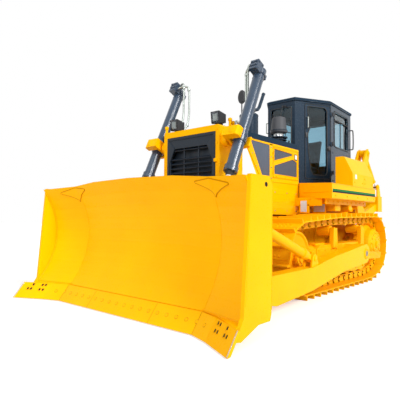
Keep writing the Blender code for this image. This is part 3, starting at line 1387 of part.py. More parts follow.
def lift_barrel():
    """Cylinder barrel with its collar and pins, head cap and hose ports."""
    body = rod(lift_point(-LIFT_TOP), lift_point(LIFT_BOTTOM), BARREL_R, ROUND)
    tools = [
        rod(lift_point(-COLLAR_HALF), lift_point(COLLAR_HALF), COLLAR_R, ROUND),
        rod(lift_point(0, YOKE_PIN_ENDS[0]), lift_point(0, YOKE_PIN_ENDS[1]), YOKE_PIN_R, SMALL),
        rod(lift_point(LIFT_BOTTOM - GLAND[0]), lift_point(LIFT_BOTTOM + GLAND[1]), GLAND_R, ROUND),
        rod(lift_point(HEAD_SPAN[0] - LIFT_TOP), lift_point(HEAD_SPAN[1] - LIFT_TOP), HEAD_R, ROUND),
        bar(lift_point(PORT_SPAN[0] - LIFT_TOP, PORT_FORE), lift_point(PORT_SPAN[1] - LIFT_TOP, PORT_FORE),
            *PORT_HALF),
        bar(lift_point(TAIL_PORT_SPAN[0] - LIFT_TOP, TAIL_PORT_FORE),
            lift_point(TAIL_PORT_SPAN[1] - LIFT_TOP, TAIL_PORT_FORE), *TAIL_PORT_HALF),
    ]
    body = join(body, *tools)
    bore = rod(lift_point(BARREL_CAP - LIFT_TOP), lift_point(LIFT_BOTTOM - BARREL_CAP), BORE_R, MEDIUM)
    return cut(body, bore, rod(lift_point(0), lift_point(LIFT_BOTTOM + OVERRUN), ROD_R + PIN_PLAY, MEDIUM))


both(lift_barrel, "lift_barrel", "dark_paint", (YOKE_X, *YOKE))


def lift_rod():
    """Bright rod with the eye that sits between the blade's lugs."""
    half = LUG_INNER - EYE_PLAY
    body = rod(lift_point(-ROD_TOP), LIFT_END - LIFT_RUN * BARREL_CAP, ROD_R, MEDIUM)
    return join(body, pin(YOKE_X - half, YOKE_X + half, LIFT_EYE, LIFT_EYE_R, MEDIUM))


both(lift_rod, "lift_rod", "bright_rod", (YOKE_X, *LIFT_EYE))

# Ripper
BEAM_X = 0.78
BEAM_Z = (1.42, 1.80)
RIPPER_ARM_HALF = 0.068
RIPPER_ARM_R = 0.10
RIPPER_ARM_INSET = (0.02, 0.18)
RIPPER_ARM_Z = (BEAM_Z[0] + RIPPER_ARM_INSET[0], BEAM_Z[1] - RIPPER_ARM_INSET[1])
RIPPER_ARM_ROOT = 0.05
LUG_AWAY = 0.085
LUG_HALF = 0.015
LUG_R = 0.075
LUG_DEEP = 0.04
LUG_INSET = (0.02, 0.01)
POCKET_X = 0.13
POCKET_Z = (1.36, 1.86)
SHANK_HALF = 0.05
SHANK_DEEP = 0.14
SHANK_PLAY = 0.0005
SHANK_TIP = (7.84, 0.42)
SHANK_TOP = 2.08
SHANK_NOSE = 0.04
SHANK_BEND = 0.38
# share of the way from the shank's front to its rear, share of its height
SHANK_SHARES = ((0, 1), (0, 0.38))
SHANK_TOE_SHARES = ((0.36, 0.06), (1, 0.26), (1, 1))


def ripper_frame():
    """Side arms, cross beam with the shank pocket, and the cylinder lugs."""
    front, rear = BEAM_ST
    tools = []
    for x in (-RIPPER_X, RIPPER_X):
        root = front + RIPPER_ARM_ROOT
        arm = arc(RIPPER_PIVOT, RIPPER_ARM_R, 70, 290) + [(root, RIPPER_ARM_Z[0]), (root, RIPPER_ARM_Z[1])]
        tools.append(prism_x(x - RIPPER_ARM_HALF, x + RIPPER_ARM_HALF, arm))
        foot = BEAM_Z[1] - LUG_DEEP
        lug = [(front + LUG_INSET[0], foot), (rear - LUG_INSET[1], foot)] + arc(RIPPER_LUG, LUG_R, 0, 180)
        for a in (-LUG_AWAY, LUG_AWAY):
            tools.append(prism_x(x + a - LUG_HALF, x + a + LUG_HALF, lug))
    tools.append(box((-POCKET_X, POCKET_X), (rear - RIPPER_ARM_ROOT, LENGTH), POCKET_Z))
    body = join(box((-BEAM_X, BEAM_X), BEAM_ST, BEAM_Z), *tools)
    half = SHANK_HALF + SHANK_PLAY
    slot = box((-half, half), (rear, rear + SHANK_DEEP + SHANK_PLAY),
               (POCKET_Z[0] - OVERRUN, POCKET_Z[1] + OVERRUN))
    wide = RIPPER_ARM_HALF + OVERRUN
    bores = [pin(x - wide, x + wide, RIPPER_PIVOT, RIPPER_PIN_R + PIN_PLAY, MEDIUM)
             for x in (-RIPPER_X, RIPPER_X)]
    return cut(body, slot, *bores)


RIPPER_ORIGIN = (0, *RIPPER_PIVOT)
finish(ripper_frame(), "ripper_frame", "yellow_paint", RIPPER_ORIGIN)


def ripper_shank():
    """Curved shank with its point, standing in the beam's pocket."""
    low = (BEAM_ST[1] + GAP, SHANK_TIP[1])
    high = (BEAM_ST[1] + SHANK_DEEP, SHANK_TOP)
    outline = shaped(low, high, SHANK_SHARES)
    outline += [(low[0] - SHANK_NOSE, SHANK_TIP[1] + SHANK_BEND), (SHANK_TIP[0], SHANK_TIP[1] + SHANK_NOSE),
                SHANK_TIP]
    return prism_x(-SHANK_HALF, SHANK_HALF, outline + shaped(low, high, SHANK_TOE_SHARES))


finish(ripper_shank(), "ripper_shank", "yellow_paint", RIPPER_ORIGIN)

RIPPER_START = Vector((RIPPER_X, *RIPPER_EYE))
RIPPER_END = Vector((RIPPER_X, *RIPPER_LUG))
RIPPER_RUN = (RIPPER_END - RIPPER_START).normalized()
RIPPER_BARREL_R = 0.066
RIPPER_BORE_R = 0.045
RIPPER_ROD_R = 0.035
RIPPER_TOP_EYE = (0.06, 0.085)
RIPPER_LOW_EYE = (LUG_AWAY - LUG_HALF - EYE_PLAY, 0.065)
RIPPER_BARREL_ENDS = (0.04, 0.17)
RIPPER_BORE_ENDS = (0.12, 0.22)
RIPPER_ROD_ENDS = (0.14, 0.03)


def ripper_barrel():
    """Ripper lift cylinder's barrel with its upper eye."""
    start, end, run = RIPPER_START, RIPPER_END, RIPPER_RUN
    half, radius = RIPPER_TOP_EYE
    top, low = RIPPER_BARREL_ENDS
    body = rod(start + run * top, end - run * low, RIPPER_BARREL_R, MEDIUM)
    body = join(body, pin(RIPPER_X - half, RIPPER_X + half, RIPPER_EYE, radius))
    wide = half + OVERRUN
    bore_top = start + run * RIPPER_BORE_ENDS[0]
    return cut(body, pin(RIPPER_X - wide, RIPPER_X + wide, RIPPER_EYE, RIPPER_EYE_PIN_R + PIN_PLAY),
               rod(bore_top, end - run * RIPPER_BORE_ENDS[1], RIPPER_BORE_R, SMALL),
               rod(bore_top, end, RIPPER_ROD_R + PIN_PLAY, SMALL))


def ripper_rod():
    """Ripper lift cylinder's rod with its lower eye."""
    start, end, run = RIPPER_START, RIPPER_END, RIPPER_RUN
    half, radius = RIPPER_LOW_EYE
    body = rod(start + run * RIPPER_ROD_ENDS[0], end - run * RIPPER_ROD_ENDS[1], RIPPER_ROD_R, SMALL)
    return join(body, pin(RIPPER_X - half, RIPPER_X + half, RIPPER_LUG, radius))


both(ripper_barrel, "ripper_barrel", "yellow_paint", (RIPPER_X, *RIPPER_EYE))
both(ripper_rod, "ripper_rod", "bright_rod", (RIPPER_X, *RIPPER_LUG))
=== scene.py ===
"""Crawler bulldozer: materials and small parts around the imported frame.

Stations (st) are metres behind the end bits' tips, as in the part's source. A function under
@one or @pair shapes the piece of its own name, and pair adds the mirrored right-hand piece.
"""
import math
from functools import cached_property, partial
from itertools import product

import bmesh
import bpy
from mathutils import Matrix, Vector
from mathutils.bvhtree import BVHTree


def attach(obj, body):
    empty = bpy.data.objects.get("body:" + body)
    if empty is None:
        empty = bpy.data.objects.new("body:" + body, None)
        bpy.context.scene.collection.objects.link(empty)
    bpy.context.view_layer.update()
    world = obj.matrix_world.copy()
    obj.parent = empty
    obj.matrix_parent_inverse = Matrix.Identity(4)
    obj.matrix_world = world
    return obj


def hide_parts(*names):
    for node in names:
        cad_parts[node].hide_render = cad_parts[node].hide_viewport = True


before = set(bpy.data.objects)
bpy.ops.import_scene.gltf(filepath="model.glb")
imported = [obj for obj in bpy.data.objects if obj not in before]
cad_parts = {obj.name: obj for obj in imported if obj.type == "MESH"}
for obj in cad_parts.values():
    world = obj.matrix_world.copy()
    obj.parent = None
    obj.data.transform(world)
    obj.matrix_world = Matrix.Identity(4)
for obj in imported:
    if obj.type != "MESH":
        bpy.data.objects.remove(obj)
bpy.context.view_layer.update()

LENGTH = 8.28
X, Y, Z = Vector((1, 0, 0)), Vector((0, 1, 0)), Vector((0, 0, 1))
SQUARE = ((-1, -1), (1, -1), (1, 1), (-1, 1))


def at(x, st, z):
    return Vector((x, st - LENGTH / 2, z))


def placed(name, data):
    """New object of this data, in the scene."""
    ob = bpy.data.objects.new(name, data)
    bpy.context.collection.objects.link(ob)
    return ob


# Camera
CAMERA_PLACE = (4.352, -7.11, 1.256)
CAMERA_YAW = math.radians(41.37)
CAMERA_PITCH = math.radians(2.33)
CAMERA_ROLL = math.radians(0.41)
CAMERA_LENS = 37.8


def make_camera():
    data = bpy.data.cameras.new("camera")
    data.lens = CAMERA_LENS
    data.sensor_width = 36.0
    data.clip_end = 200.0
    camera = placed("camera", data)
    turn = (Matrix.Rotation(CAMERA_YAW, 4, "Z") @ Matrix.Rotation(math.pi / 2 + CAMERA_PITCH, 4, "X")
            @ Matrix.Rotation(CAMERA_ROLL, 4, "Z"))
    camera.matrix_world = Matrix.Translation(CAMERA_PLACE) @ turn
    bpy.context.scene.camera = camera


class Graph:
    """Short calls for the nodes of a world or a material."""

    def __init__(self, tree):
        self.tree = tree

    def plug(self, socket, value):
        """Sets a constant, with a colour's alpha added, or links an output."""
        if isinstance(value, bpy.types.NodeSocket):
            self.tree.links.new(value, socket)
        else:
            socket.default_value = (*value, 1) if isinstance(value, tuple) else value

    def node(self, kind, inputs=(), **settings):
        made = self.tree.nodes.new(kind)
        for key, value in settings.items():
            setattr(made, key, value)
        for key, value in inputs:
            self.plug(made.inputs[key], value)
        return made

    def spread(self, value, low, high, to_low, to_high):
        """Maps low..high to to_low..to_high."""
        return self.node("ShaderNodeMapRange", (("Value", value), ("From Min", low), ("From Max", high),
                                                ("To Min", to_low), ("To Max", to_high))).outputs[0]

    def mix(self, factor, one_colour, other):
        return self.node("ShaderNodeMix", ((0, factor), (6, one_colour), (7, other)), data_type="RGBA").outputs[2]

    def maths(self, operation, first, second):
        return self.node("ShaderNodeMath", ((0, first), (1, second)), operation=operation).outputs[0]

    def seen_rays(self):
        """1 on camera, glossy and transmission rays, else 0."""
        rays = self.node("ShaderNodeLightPath").outputs
        found = rays["Is Camera Ray"]
        for kind in ("Is Glossy Ray", "Is Transmission Ray"):
            found = self.maths("MAXIMUM", found, rays[kind])
        return found


class Finish(Graph):
    """A new material's nodes on object coordinates."""

    def __init__(self, name):
        self.mat = bpy.data.materials.new(name)
        self.mat.use_nodes = True
        super().__init__(self.mat.node_tree)
        self.shader = self.tree.nodes["Principled BSDF"]

    @cached_property
    def coords(self):
        return self.node("ShaderNodeTexCoord").outputs["Object"]

    def shade(self, *inputs):
        for key, value in inputs:
            self.plug(self.shader.inputs[key], value)

    def noise(self, scale, detail=3.0, rough=0.55):
        return self.node("ShaderNodeTexNoise", (("Scale", scale), ("Detail", detail), ("Roughness", rough),
                                                ("Vector", self.coords))).outputs["Fac"]

    def height(self):
        return self.node("ShaderNodeSeparateXYZ", ((0, self.coords),)).outputs["Z"]

    def rounded(self, high, strength, distance, radius):
        """Bump over edges that catch light as if rounded."""
        bump = self.node("ShaderNodeBump", (("Strength", strength), ("Distance", distance), ("Height", high)))
        if radius:
            self.plug(bump.inputs["Normal"], self.node("ShaderNodeBevel", (("Radius", radius),), samples=4).outputs[0])
        self.shade(("Normal", bump.outputs[0]))


# Light and floor
AMBIENT = 0.46
SUNS = (
    # name, way, strength, width in degrees
    ("key", (-0.83, 0.10, -0.50), 2.8, 20),
    ("front_fill", (-0.21, 0.93, -0.42), 1.35, 45),
)
FLOOR_HALF = 60.0
FLOOR_COLOUR = (0.80, 0.80, 0.79)
FLOOR_GLOW = 0.42


def make_stage():
    world = bpy.data.worlds.new("studio")
    bpy.context.scene.world = world
    world.use_nodes = True
    graph = Graph(world.node_tree)
    back = world.node_tree.nodes["Background"].inputs
    graph.plug(back["Color"], (1, 1, 1))
    graph.plug(back["Strength"], graph.spread(graph.seen_rays(), 0.0, 1.0, AMBIENT, 1.0))
    for name, way, strength, degrees in SUNS:
        data = bpy.data.lights.new(name, "SUN")
        data.energy = strength
        data.angle = math.radians(degrees)
        placed(name, data).rotation_euler = Vector(way).to_track_quat("-Z", "Y").to_euler()
    mesh = bpy.data.meshes.new("floor")
    mesh.from_pydata([(x * FLOOR_HALF, y * FLOOR_HALF, 0) for x, y in SQUARE], [], [(0, 1, 2, 3)])
    floor = Finish("floor")
    floor.shade(("Base Color", FLOOR_COLOUR), ("Roughness", 0.9), ("Emission Color", (1, 1, 1)),
                ("Emission Strength", floor.maths("MULTIPLY", floor.seen_rays(), FLOOR_GLOW)))
    mesh.materials.append(floor.mat)
    placed("floor", mesh)


# Materials
def scaled(colour, factor, lift=0.0):
    return tuple(c * factor + lift for c in colour)


def paint(name, colour, shade, rough=0.32, coat=0.02, sheen=0.05, peel=0.12, dust=0.0, radius=0.006,
          split=None, over=None):
    """Sprayed enamel: cloudy tone, fine peel, dust low down, a second colour above a height."""
    f = Finish(name)
    tone = f.mix(f.spread(f.noise(1.7, 4.0), 0.35, 0.70, 0.0, 1.0), colour, shade)
    if split is not None:
        tone = f.mix(f.maths("GREATER_THAN", f.height(), split), tone, over)
    if dust:
        patches = f.spread(f.noise(9.0, 6.0, 0.7), 0.42, 0.68, 0.0, 1.0)
        low = f.spread(f.height(), 0.0, 1.0, dust, 0.0)
        tone = f.mix(f.maths("MULTIPLY", low, patches), tone, (0.45, 0.24, 0.06))
    f.shade(("Base Color", tone), ("Roughness", f.spread(f.noise(38.0), 0.3, 0.7, rough - 0.06, rough + 0.08)),
            ("Coat Weight", coat), ("Coat Roughness", 0.20), ("Specular IOR Level", sheen))
    f.rounded(f.noise(260.0, 2.0), peel, 0.0015, radius)
    return f.mat


def metal(name, colour, rough, grain=60.0, radius=0.0):
    f = Finish(name)
    streak = f.noise(grain, 5.0, 0.65)
    f.shade(("Base Color", f.mix(f.spread(streak, 0.35, 0.7, 0.0, 1.0), colour, scaled(colour, 0.82))),
            ("Roughness", f.spread(streak, 0.3, 0.7, rough * 0.7, rough * 1.4)), ("Metallic", 1.0))
    f.rounded(f.noise(320.0, 2.0), 0.06, 0.0008, radius)
    return f.mat


def plastic(name, colour, rough=0.5, grain=420.0, depth=0.25, radius=0.003):
    f = Finish(name)
    cloud = f.noise(6.0)
    f.shade(("Base Color", f.mix(cloud, colour, scaled(colour, 1.5, 0.003))),
            ("Roughness", f.spread(cloud, 0.3, 0.7, rough - 0.08, rough + 0.08)))
    f.rounded(f.noise(grain, 2.0), depth, 0.0006, radius)
    return f.mat


def mesh_sheet(name, colour, deep, pitch=0.012):
    """Perforated sheet: round holes on a staggered grid, sunk, and darker with painted shade."""
    f = Finish(name)
    cells = f.node("ShaderNodeTexVoronoi", (("Scale", 1.0 / pitch), ("Randomness", 0.0), ("Vector", f.coords)))
    hole = f.spread(cells.outputs["Distance"], 0.30, 0.42, 1.0, 0.0)
    cloud = f.noise(5.0)
    f.shade(("Base Color", f.mix(hole, f.mix(cloud, colour, scaled(colour, 1.25)), deep)),
            ("Roughness", f.spread(cloud, 0.3, 0.7, 0.38, 0.52)))
    f.rounded(f.spread(hole, 0.0, 1.0, 1.0, 0.0), 0.5, 0.002, 0.0)
    return f.mat


def glass(name, tint, rough=0.02):
    f = Finish(name)
    film = f.noise(3.0, 4.0)
    paler = tuple(min(1.0, c * 1.12) for c in tint)
    f.shade(("Roughness", f.spread(film, 0.3, 0.8, rough, rough + 0.04)), ("Base Color", f.mix(film, tint, paler)),
            ("Transmission Weight", 1.0), ("IOR", 1.45))
    return f.mat


def vinyl(name, colour):
    """Seat cover: creased grain with a soft sheen."""
    f = Finish(name)
    cells = f.node("ShaderNodeTexVoronoi", (("Scale", 220.0), ("Vector", f.coords)), feature="DISTANCE_TO_EDGE")
    cloud = f.noise(12.0, 4.0)
    f.shade(("Base Color", f.mix(cloud, colour, scaled(colour, 1.8))),
            ("Roughness", f.spread(cloud, 0.3, 0.7, 0.45, 0.65)), ("Sheen Weight", 0.25))
    f.rounded(f.spread(cells.outputs["Distance"], 0.0, 0.15, 0.0, 1.0), 0.5, 0.0008, 0.0)
    return f.mat


YELLOW = (1.0, 0.50, 0.0)
YELLOW_SHADE = (0.98, 0.465, 0.0)
SLATE = (0.008, 0.026, 0.050)
SLATE_SHADE = (0.006, 0.020, 0.040)
HOOD_SPLIT = 2.515

MAT = {
    "yellow": paint("yellow_enamel", YELLOW, YELLOW_SHADE, dust=0.10),
    "hood": paint("hood_enamel", YELLOW, YELLOW_SHADE, split=HOOD_SPLIT, over=SLATE),
    "blade": paint("blade_enamel", YELLOW, (0.97, 0.46, 0.0), rough=0.30, coat=0.03, dust=0.06),
    "undercarriage": paint("undercarriage_enamel", (1.0, 0.485, 0.0), (0.90, 0.40, 0.001), rough=0.45,
                           coat=0.0, peel=0.2, dust=0.30),
    "slate": paint("slate_enamel", SLATE, SLATE_SHADE, rough=0.24, coat=0.24, sheen=0.20),
    "roof": paint("roof_enamel", SLATE, SLATE_SHADE, rough=0.55, coat=0.0, sheen=0.12, peel=0.3),
    "barrel": paint("cylinder_enamel", (0.028, 0.052, 0.090), (0.021, 0.042, 0.076), rough=0.20, coat=0.55,
                    sheen=0.4),
    # Darker orange painted as shade: round the doubler's outline, the sunk plow bolts and the cutting edge's joints.
    "weld": paint("weld_bead_painted_shade", (0.62, 0.27, 0.0), (0.50, 0.20, 0.0), rough=0.5, coat=0.0, peel=0.3, radius=0.0),
    "matte": plastic("matte_plastic", (0.040, 0.042, 0.048), 0.6, 300.0, 0.15),
    "grille": paint("grille_enamel", (0.014, 0.022, 0.034), (0.010, 0.017, 0.027), rough=0.42, coat=0.08,
                    sheen=0.25),
    "engine": paint("engine_enamel", (0.10, 0.10, 0.105), (0.06, 0.06, 0.065), rough=0.5, coat=0.0),
    "rod": metal("hard_chrome", (0.80, 0.81, 0.83), 0.12, 25.0),
    "zinc": metal("zinc_plate", (0.60, 0.61, 0.60), 0.30, 90.0, 0.001),
    "pipe": metal("oiled_steel", (0.36, 0.39, 0.36), 0.38, 90.0, 0.001),
    "steel": metal("bolt_steel", (0.30, 0.29, 0.27), 0.42, 120.0, 0.001),
    "black": plastic("black_plastic", (0.012, 0.013, 0.016)),
    "rubber": plastic("seal_rubber", (0.010, 0.011, 0.012), 0.62, 260.0, 0.2),
    "white": paint("white_plate", (0.80, 0.82, 0.84), (0.74, 0.76, 0.78), radius=0.0),
    # Blue tint painted to offset the orange bounced light in the shade under the platform.
    "plate": paint("pale_plate", (0.60, 0.73, 0.95), (0.54, 0.67, 0.88), radius=0.0),
    "green": paint("green_stripe", (0.0, 0.18, 0.035), (0.0, 0.15, 0.03), radius=0.0),
    # Black for the fender stripe and some bolts, also painted as the shade in holes and the tail pipe's bore.
    "ink": paint("black_stripe", (0.008, 0.009, 0.010), (0.012, 0.013, 0.014), radius=0.0),
    # The sheet's second colour is painted shade in its holes.
    "mesh": mesh_sheet("perforated_sheet", (0.060, 0.080, 0.115), (0.010, 0.012, 0.018)),
    "glass": glass("cab_glass", (0.42, 0.60, 0.68)),
    "lens": glass("lamp_lens", (0.80, 0.84, 0.92), 0.12),
    "seat": vinyl("seat_vinyl", (0.016, 0.017, 0.020)),
    "screen": plastic("display_glass", (0.02, 0.03, 0.035), 0.2, 40.0, 0.02),
}
# Finish and CAD nodes; a name with * stands for its left and right node
NODE_FINISH = (
    ("undercarriage", "track_* track_frame_* idler_* sprocket_*"),
    ("yellow", "main_frame radiator_guard engine_door_* fender_* side_tank_* push_arm_* blade_brace_left "
               "tilt_cylinder_right ripper_frame ripper_shank ripper_barrel_* lift_yoke_*"),
    ("hood", "hood"),
    ("blade", "blade cutting_edge end_bit_*"),
    ("roof", "cab_roof"),
    ("slate", "cab_shell cab_door_* exhaust_stack"),
    ("barrel", "lift_barrel_*"),
    ("matte", "air_precleaner"),
    ("grille", "radiator_grille radiator_core"),
    ("engine", "engine"),
    ("rod", "lift_rod_* ripper_rod_*"),
    ("black", "work_lamp_* control_console rear_mirror"),
    ("seat", "operator_seat"),
)


def dress_nodes():
    for key, names in NODE_FINISH:
        for name in names.split():
            for side in ("left", "right") if "*" in name else ("",):
                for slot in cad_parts[name.replace("*", side)].material_slots:
                    slot.material = MAT[key]


# Mesh building: each call adds one closed lump to a bmesh
def loft(bm, rings):
    loops = [[bm.verts.new(p) for p in ring] for ring in rings]
    for low, high in zip(loops, loops[1:]):
        for i in range(len(low)):
            j = (i + 1) % len(low)
            bm.faces.new((low[i], low[j], high[j], high[i]))
    bm.faces.new(loops[0])
    bm.faces.new(loops[-1])
    return [v for loop in loops for v in loop]


def prism(bm, points, sweep, bevel=0.0):
    """Flat outline drawn out along a vector, with rounded edges."""
    verts = loft(bm, [[Vector(p) + shift for p in points] for shift in (Vector(), Vector(sweep))])
    if bevel > 0:
        edges = dict.fromkeys(e for v in verts for e in v.link_edges)
        bmesh.ops.bevel(bm, geom=list(edges), offset=bevel, segments=2, profile=0.6, affect="EDGES",
                        clamp_overlap=True)


def block(bm, x, st, z, bevel=0.004):
    prism(bm, [at(x[0], st[i], z[j]) for i, j in ((0, 0), (1, 0), (1, 1), (0, 1))], (x[1] - x[0], 0, 0), bevel)


def around(centre, axis, radius, steps, phase=0.0):
    """Places on a circle round an axis."""
    side = axis.orthogonal().normalized()
    other = axis.cross(side)
    turns = (2 * math.pi * (i + phase) / steps for i in range(steps))
    return [centre + (side * math.cos(turn) + other * math.sin(turn)) * radius for turn in turns]


def turned(bm, centre, axis, profile, steps=24):
    """Solid of revolution from (along, radius) pairs."""
    axis = Vector(axis).normalized()
    loft(bm, [around(centre + axis * along, axis, radius, steps, 0.5) for along, radius in profile])


def collar(bm, centre, axis, radius, wide, steps, lip=0.004, edge=0.004):
    """Ring as wide as told, its radius less the lip at both ends."""
    turned(bm, centre, axis, [(0, radius - lip), (edge, radius), (wide - edge, radius), (wide, radius - lip)], steps)


def smooth_path(points, between=6):
    """Points on a smooth curve through the given ones."""
    points = [Vector(p) for p in points]
    ends = [points[0] * 2 - points[1]] + points + [points[-1] * 2 - points[-2]]
    out = []
    for a, b, c, d in zip(ends, ends[1:], ends[2:], ends[3:]):
        for t in (i / between for i in range(between)):
            out.append(0.5 * (2 * b + (c - a) * t + (2 * a - 5 * b + 4 * c - d) * t * t
                              + (3 * b - a - 3 * c + d) * t * t * t))
    return out + [points[-1]]


def tube(bm, path, radius, steps=10, closed=False):
    """Round tube along a path, open with flat ends or closed on itself."""
    count = len(path)
    side = None
    rings = []
    for i, point in enumerate(path):
        before = path[i - 1] if closed or i else path[0]
        after = path[(i + 1) % count] if closed or i < count - 1 else path[-1]
        run = (after - before).normalized()
        if side is None:
            side = run.orthogonal().normalized()
        side = (side - run * side.dot(run)).normalized()
        other = run.cross(side)
        turns = (2 * math.pi * k / steps for k in range(steps))
        rings.append([bm.verts.new(point + (side * math.cos(turn) + other * math.sin(turn)) * radius)
                      for turn in turns])
    shift = 0
    if closed:
        shift = min(range(steps), key=lambda s: (rings[0][s].co - rings[-1][0].co).length)
        rings.append(rings[0])
    for i, (low, high) in enumerate(zip(rings, rings[1:])):
        slip = shift if i == count - 1 else 0
        for k in range(steps):
            j = (k + 1) % steps
            bm.faces.new((low[k], low[j], high[(j + slip) % steps], high[(k + slip) % steps]))
    if not closed:
        bm.faces.new(rings[0])
        bm.faces.new(rings[-1])


def pipe(bm, points, radius, between=6, steps=10):
    tube(bm, smooth_path(points, between), radius, steps)


def bolt(bm, place, normal, size=0.012):
    """Washer and hexagon head."""
    turned(bm, place, normal, [(-0.002, 1.7 * size), (0.25 * size, 1.7 * size)], 12)
    turned(bm, place, normal, [(0.0, 1.15 * size), (0.95 * size, 1.15 * size), (1.1 * size, 0.9 * size)], 6)


def bolts(bm, xs, sts, zs, normal, size):
    """Bolts at every crossing of the listed x, st and z."""
    for place in product(xs, sts, zs):
        bolt(bm, at(*place), normal, size)


def bolt_ring(bm, centre, axis, radius, count, size):
    for place in around(centre, axis, radius, count):
        bolt(bm, place, axis, size)


PIECES = []
SUFFIXES = ((False, "left"), (True, "right"))


def add(name, shape, key, body="chassis", smooth=35.0, node=None, mirror=False):
    PIECES.append((name, shape, key, body, smooth, node, mirror))


def one(key, body="chassis", smooth=35.0, node=None, mirror=False):
    """Adds the function below it as a piece of the same name."""
    def keep(shape):
        add(shape.__name__, shape, key, body, smooth, node, mirror)
        return shape
    return keep


pair = partial(one, mirror=True)


def build(name, shape, key, body, smooth, node, mirror):
    """Makes a piece, or a left one and its mirror; a body ending in _ gets the side's name."""
    for flip, suffix in SUFFIXES if mirror else ((False, ""),):
        bm = bmesh.new()
        shape(bm)
        if flip:
            bmesh.ops.scale(bm, vec=(-1, 1, 1), verts=bm.verts)
        bmesh.ops.recalc_face_normals(bm, faces=bm.faces)
        for face in bm.faces:
            face.smooth = True
        title = name + "_" + suffix if mirror else name
        mesh = bpy.data.meshes.new(title)
        bm.to_mesh(mesh)
        bm.free()
        mesh.set_sharp_from_angle(angle=math.radians(smooth))
        mesh.materials.append(MAT[key])
        ob = placed(title, mesh)
        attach(ob, body + suffix if body.endswith("_") else body)
        if node:
            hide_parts(node)
        if key == "seat":
            ob.modifiers.new("round", "SUBSURF").levels = 1
            ob.modifiers["round"].render_levels = 1


TREES = {}


def hit(node, start, toward):
    """Point and normal where a ray meets a CAD node."""
    toward = Vector(toward)
    if node not in TREES:
        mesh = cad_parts[node].data
        TREES[node] = BVHTree.FromPolygons([v.co.copy() for v in mesh.vertices],
                                           [tuple(p.vertices) for p in mesh.polygons])
    place, normal, _, _ = TREES[node].ray_cast(start, toward.normalized())
    if place is None:
        raise ValueError(f"no surface of {node} from {tuple(start)}")
    return place, -normal if normal.dot(toward) > 0 else normal


def spots(*places):
    return [at(*place) for place in places]


def sheet(bm, x, outline, thick, bevel=0.0):
    """Plate from (st, z) corners at x, thick outwards."""
    prism(bm, [at(x, *corner) for corner in outline], X * thick, bevel)


def slab(bm, x, low, high, sweep, bevel=0.0):
    """Leaning plate between two x and the (st, z) of its low and high edge."""
    prism(bm, [at(x[i], *edge) for i, edge in ((0, low), (1, low), (1, high), (0, high))], sweep, bevel)


# Tracks
TRACK_X = 1.07
SHOE_HALF = 0.28
LINK_HALF = 0.0625
SHOE_TOP = 0.0825
STRAND_OUT = 0.095
PINS = (
    (6.4856, 0.7200), (6.4324, 0.9434), (6.2842, 1.1189), (6.0728, 1.2087), (5.8431, 1.2138),
    (5.6135, 1.2110), (5.3838, 1.2082), (5.1541, 1.2053), (4.9244, 1.2025), (4.6948, 1.1996),
    (4.4651, 1.1968), (4.2354, 1.1939), (4.0059, 1.1859), (3.7766, 1.1725), (3.5473, 1.1592),
    (3.3180, 1.1459), (3.0887, 1.1325), (2.8595, 1.1174), (2.6466, 1.0313), (2.4969, 0.8570),
    (2.4440, 0.6335), (2.4997, 0.4107), (2.6514, 0.2383), (2.8654, 0.1548), (3.0951, 0.1505),
    (3.3247, 0.1505), (3.5544, 0.1505), (3.7841, 0.1505), (4.0138, 0.1505), (4.2435, 0.1505),
    (4.4732, 0.1505), (4.7029, 0.1505), (4.9326, 0.1505), (5.1622, 0.1505), (5.3919, 0.1505),
    (5.6216, 0.1505), (5.8498, 0.1770), (6.0732, 0.2303), (6.2842, 0.3211), (6.4324, 0.4966),
)


def track_links():
    """Start pin, run to the next and outward normal of each shoe."""
    pins = [at(TRACK_X, *pin) for pin in PINS]
    for start, end in zip(pins, pins[1:] + pins[:1]):
        run = end - start
        yield start, run, Vector((0, run.z, -run.y)).normalized()


@pair("undercarriage")
def chain_links(bm):
    """Dog-bone link plates and pin ends on both sides of the chain."""
    for (start, run, out), side in product(track_links(), (-1, 1)):
        ahead = run.normalized()
        face = start + X * (side * (STRAND_OUT - 0.006))
        shape = []
        for centre, radius, first, waist in ((face, 0.056, 0.5, -0.036), (face + run, 0.050, -0.5, 0.05)):
            turns = (math.pi * (first + k / 6) for k in range(7))
            shape += [centre + ahead * (radius * math.cos(turn)) + out * (radius * math.sin(turn)) for turn in turns]
            shape.append(face + run * 0.5 + out * waist)
        prism(bm, shape, X * (side * 0.022))
        turned(bm, start + X * (side * (STRAND_OUT + 0.010)), X * side, [(0, 0.030), (0.014, 0.030), (0.018, 0.024)],
               14)


@pair("undercarriage")
def shoe_bolts(bm):
    for (start, run, out), x, share in product(track_links(), (-0.105, -0.035, 0.035, 0.105), (0.42, 0.78)):
        bolt(bm, start + run * share + out * SHOE_TOP + X * x, out, 0.013)


@pair("undercarriage")
def shoe_lips(bm):
    """Raised trailing lip where each shoe overlaps the next."""
    for start, run, out in track_links():
        ahead = run.normalized()
        base = start + run * 0.90 + out * (SHOE_TOP - 0.004) + X * (0.002 - SHOE_HALF)
        prism(bm, [base + ahead * a + out * b for a, b in ((0, 0), (0.034, 0), (0.030, 0.010), (0.006, 0.012))],
              X * (2 * SHOE_HALF - 0.004))


@pair("undercarriage")
def shoe_sides(bm):
    """Rolled edge along the ends of each shoe plate."""
    for (start, run, out), x in product(track_links(), (-SHOE_HALF, SHOE_HALF)):
        base = start + run * 0.04 + out * (LINK_HALF + 0.001) + X * (x - 0.004)
        prism(bm, [base + run * a + out * b for a, b in ((0, 0), (0.88, 0), (0.88, 0.017), (0, 0.017))],
              X * 0.008, 0.003)


IDLER = (2.93, 0.6365)
SPROCKET = (5.99, 0.72)
TRUNNION = (4.67, 0.626)
ROLLERS = [3.41 + i * 0.35 for i in range(7)]
ROLLER_Z = 0.3333


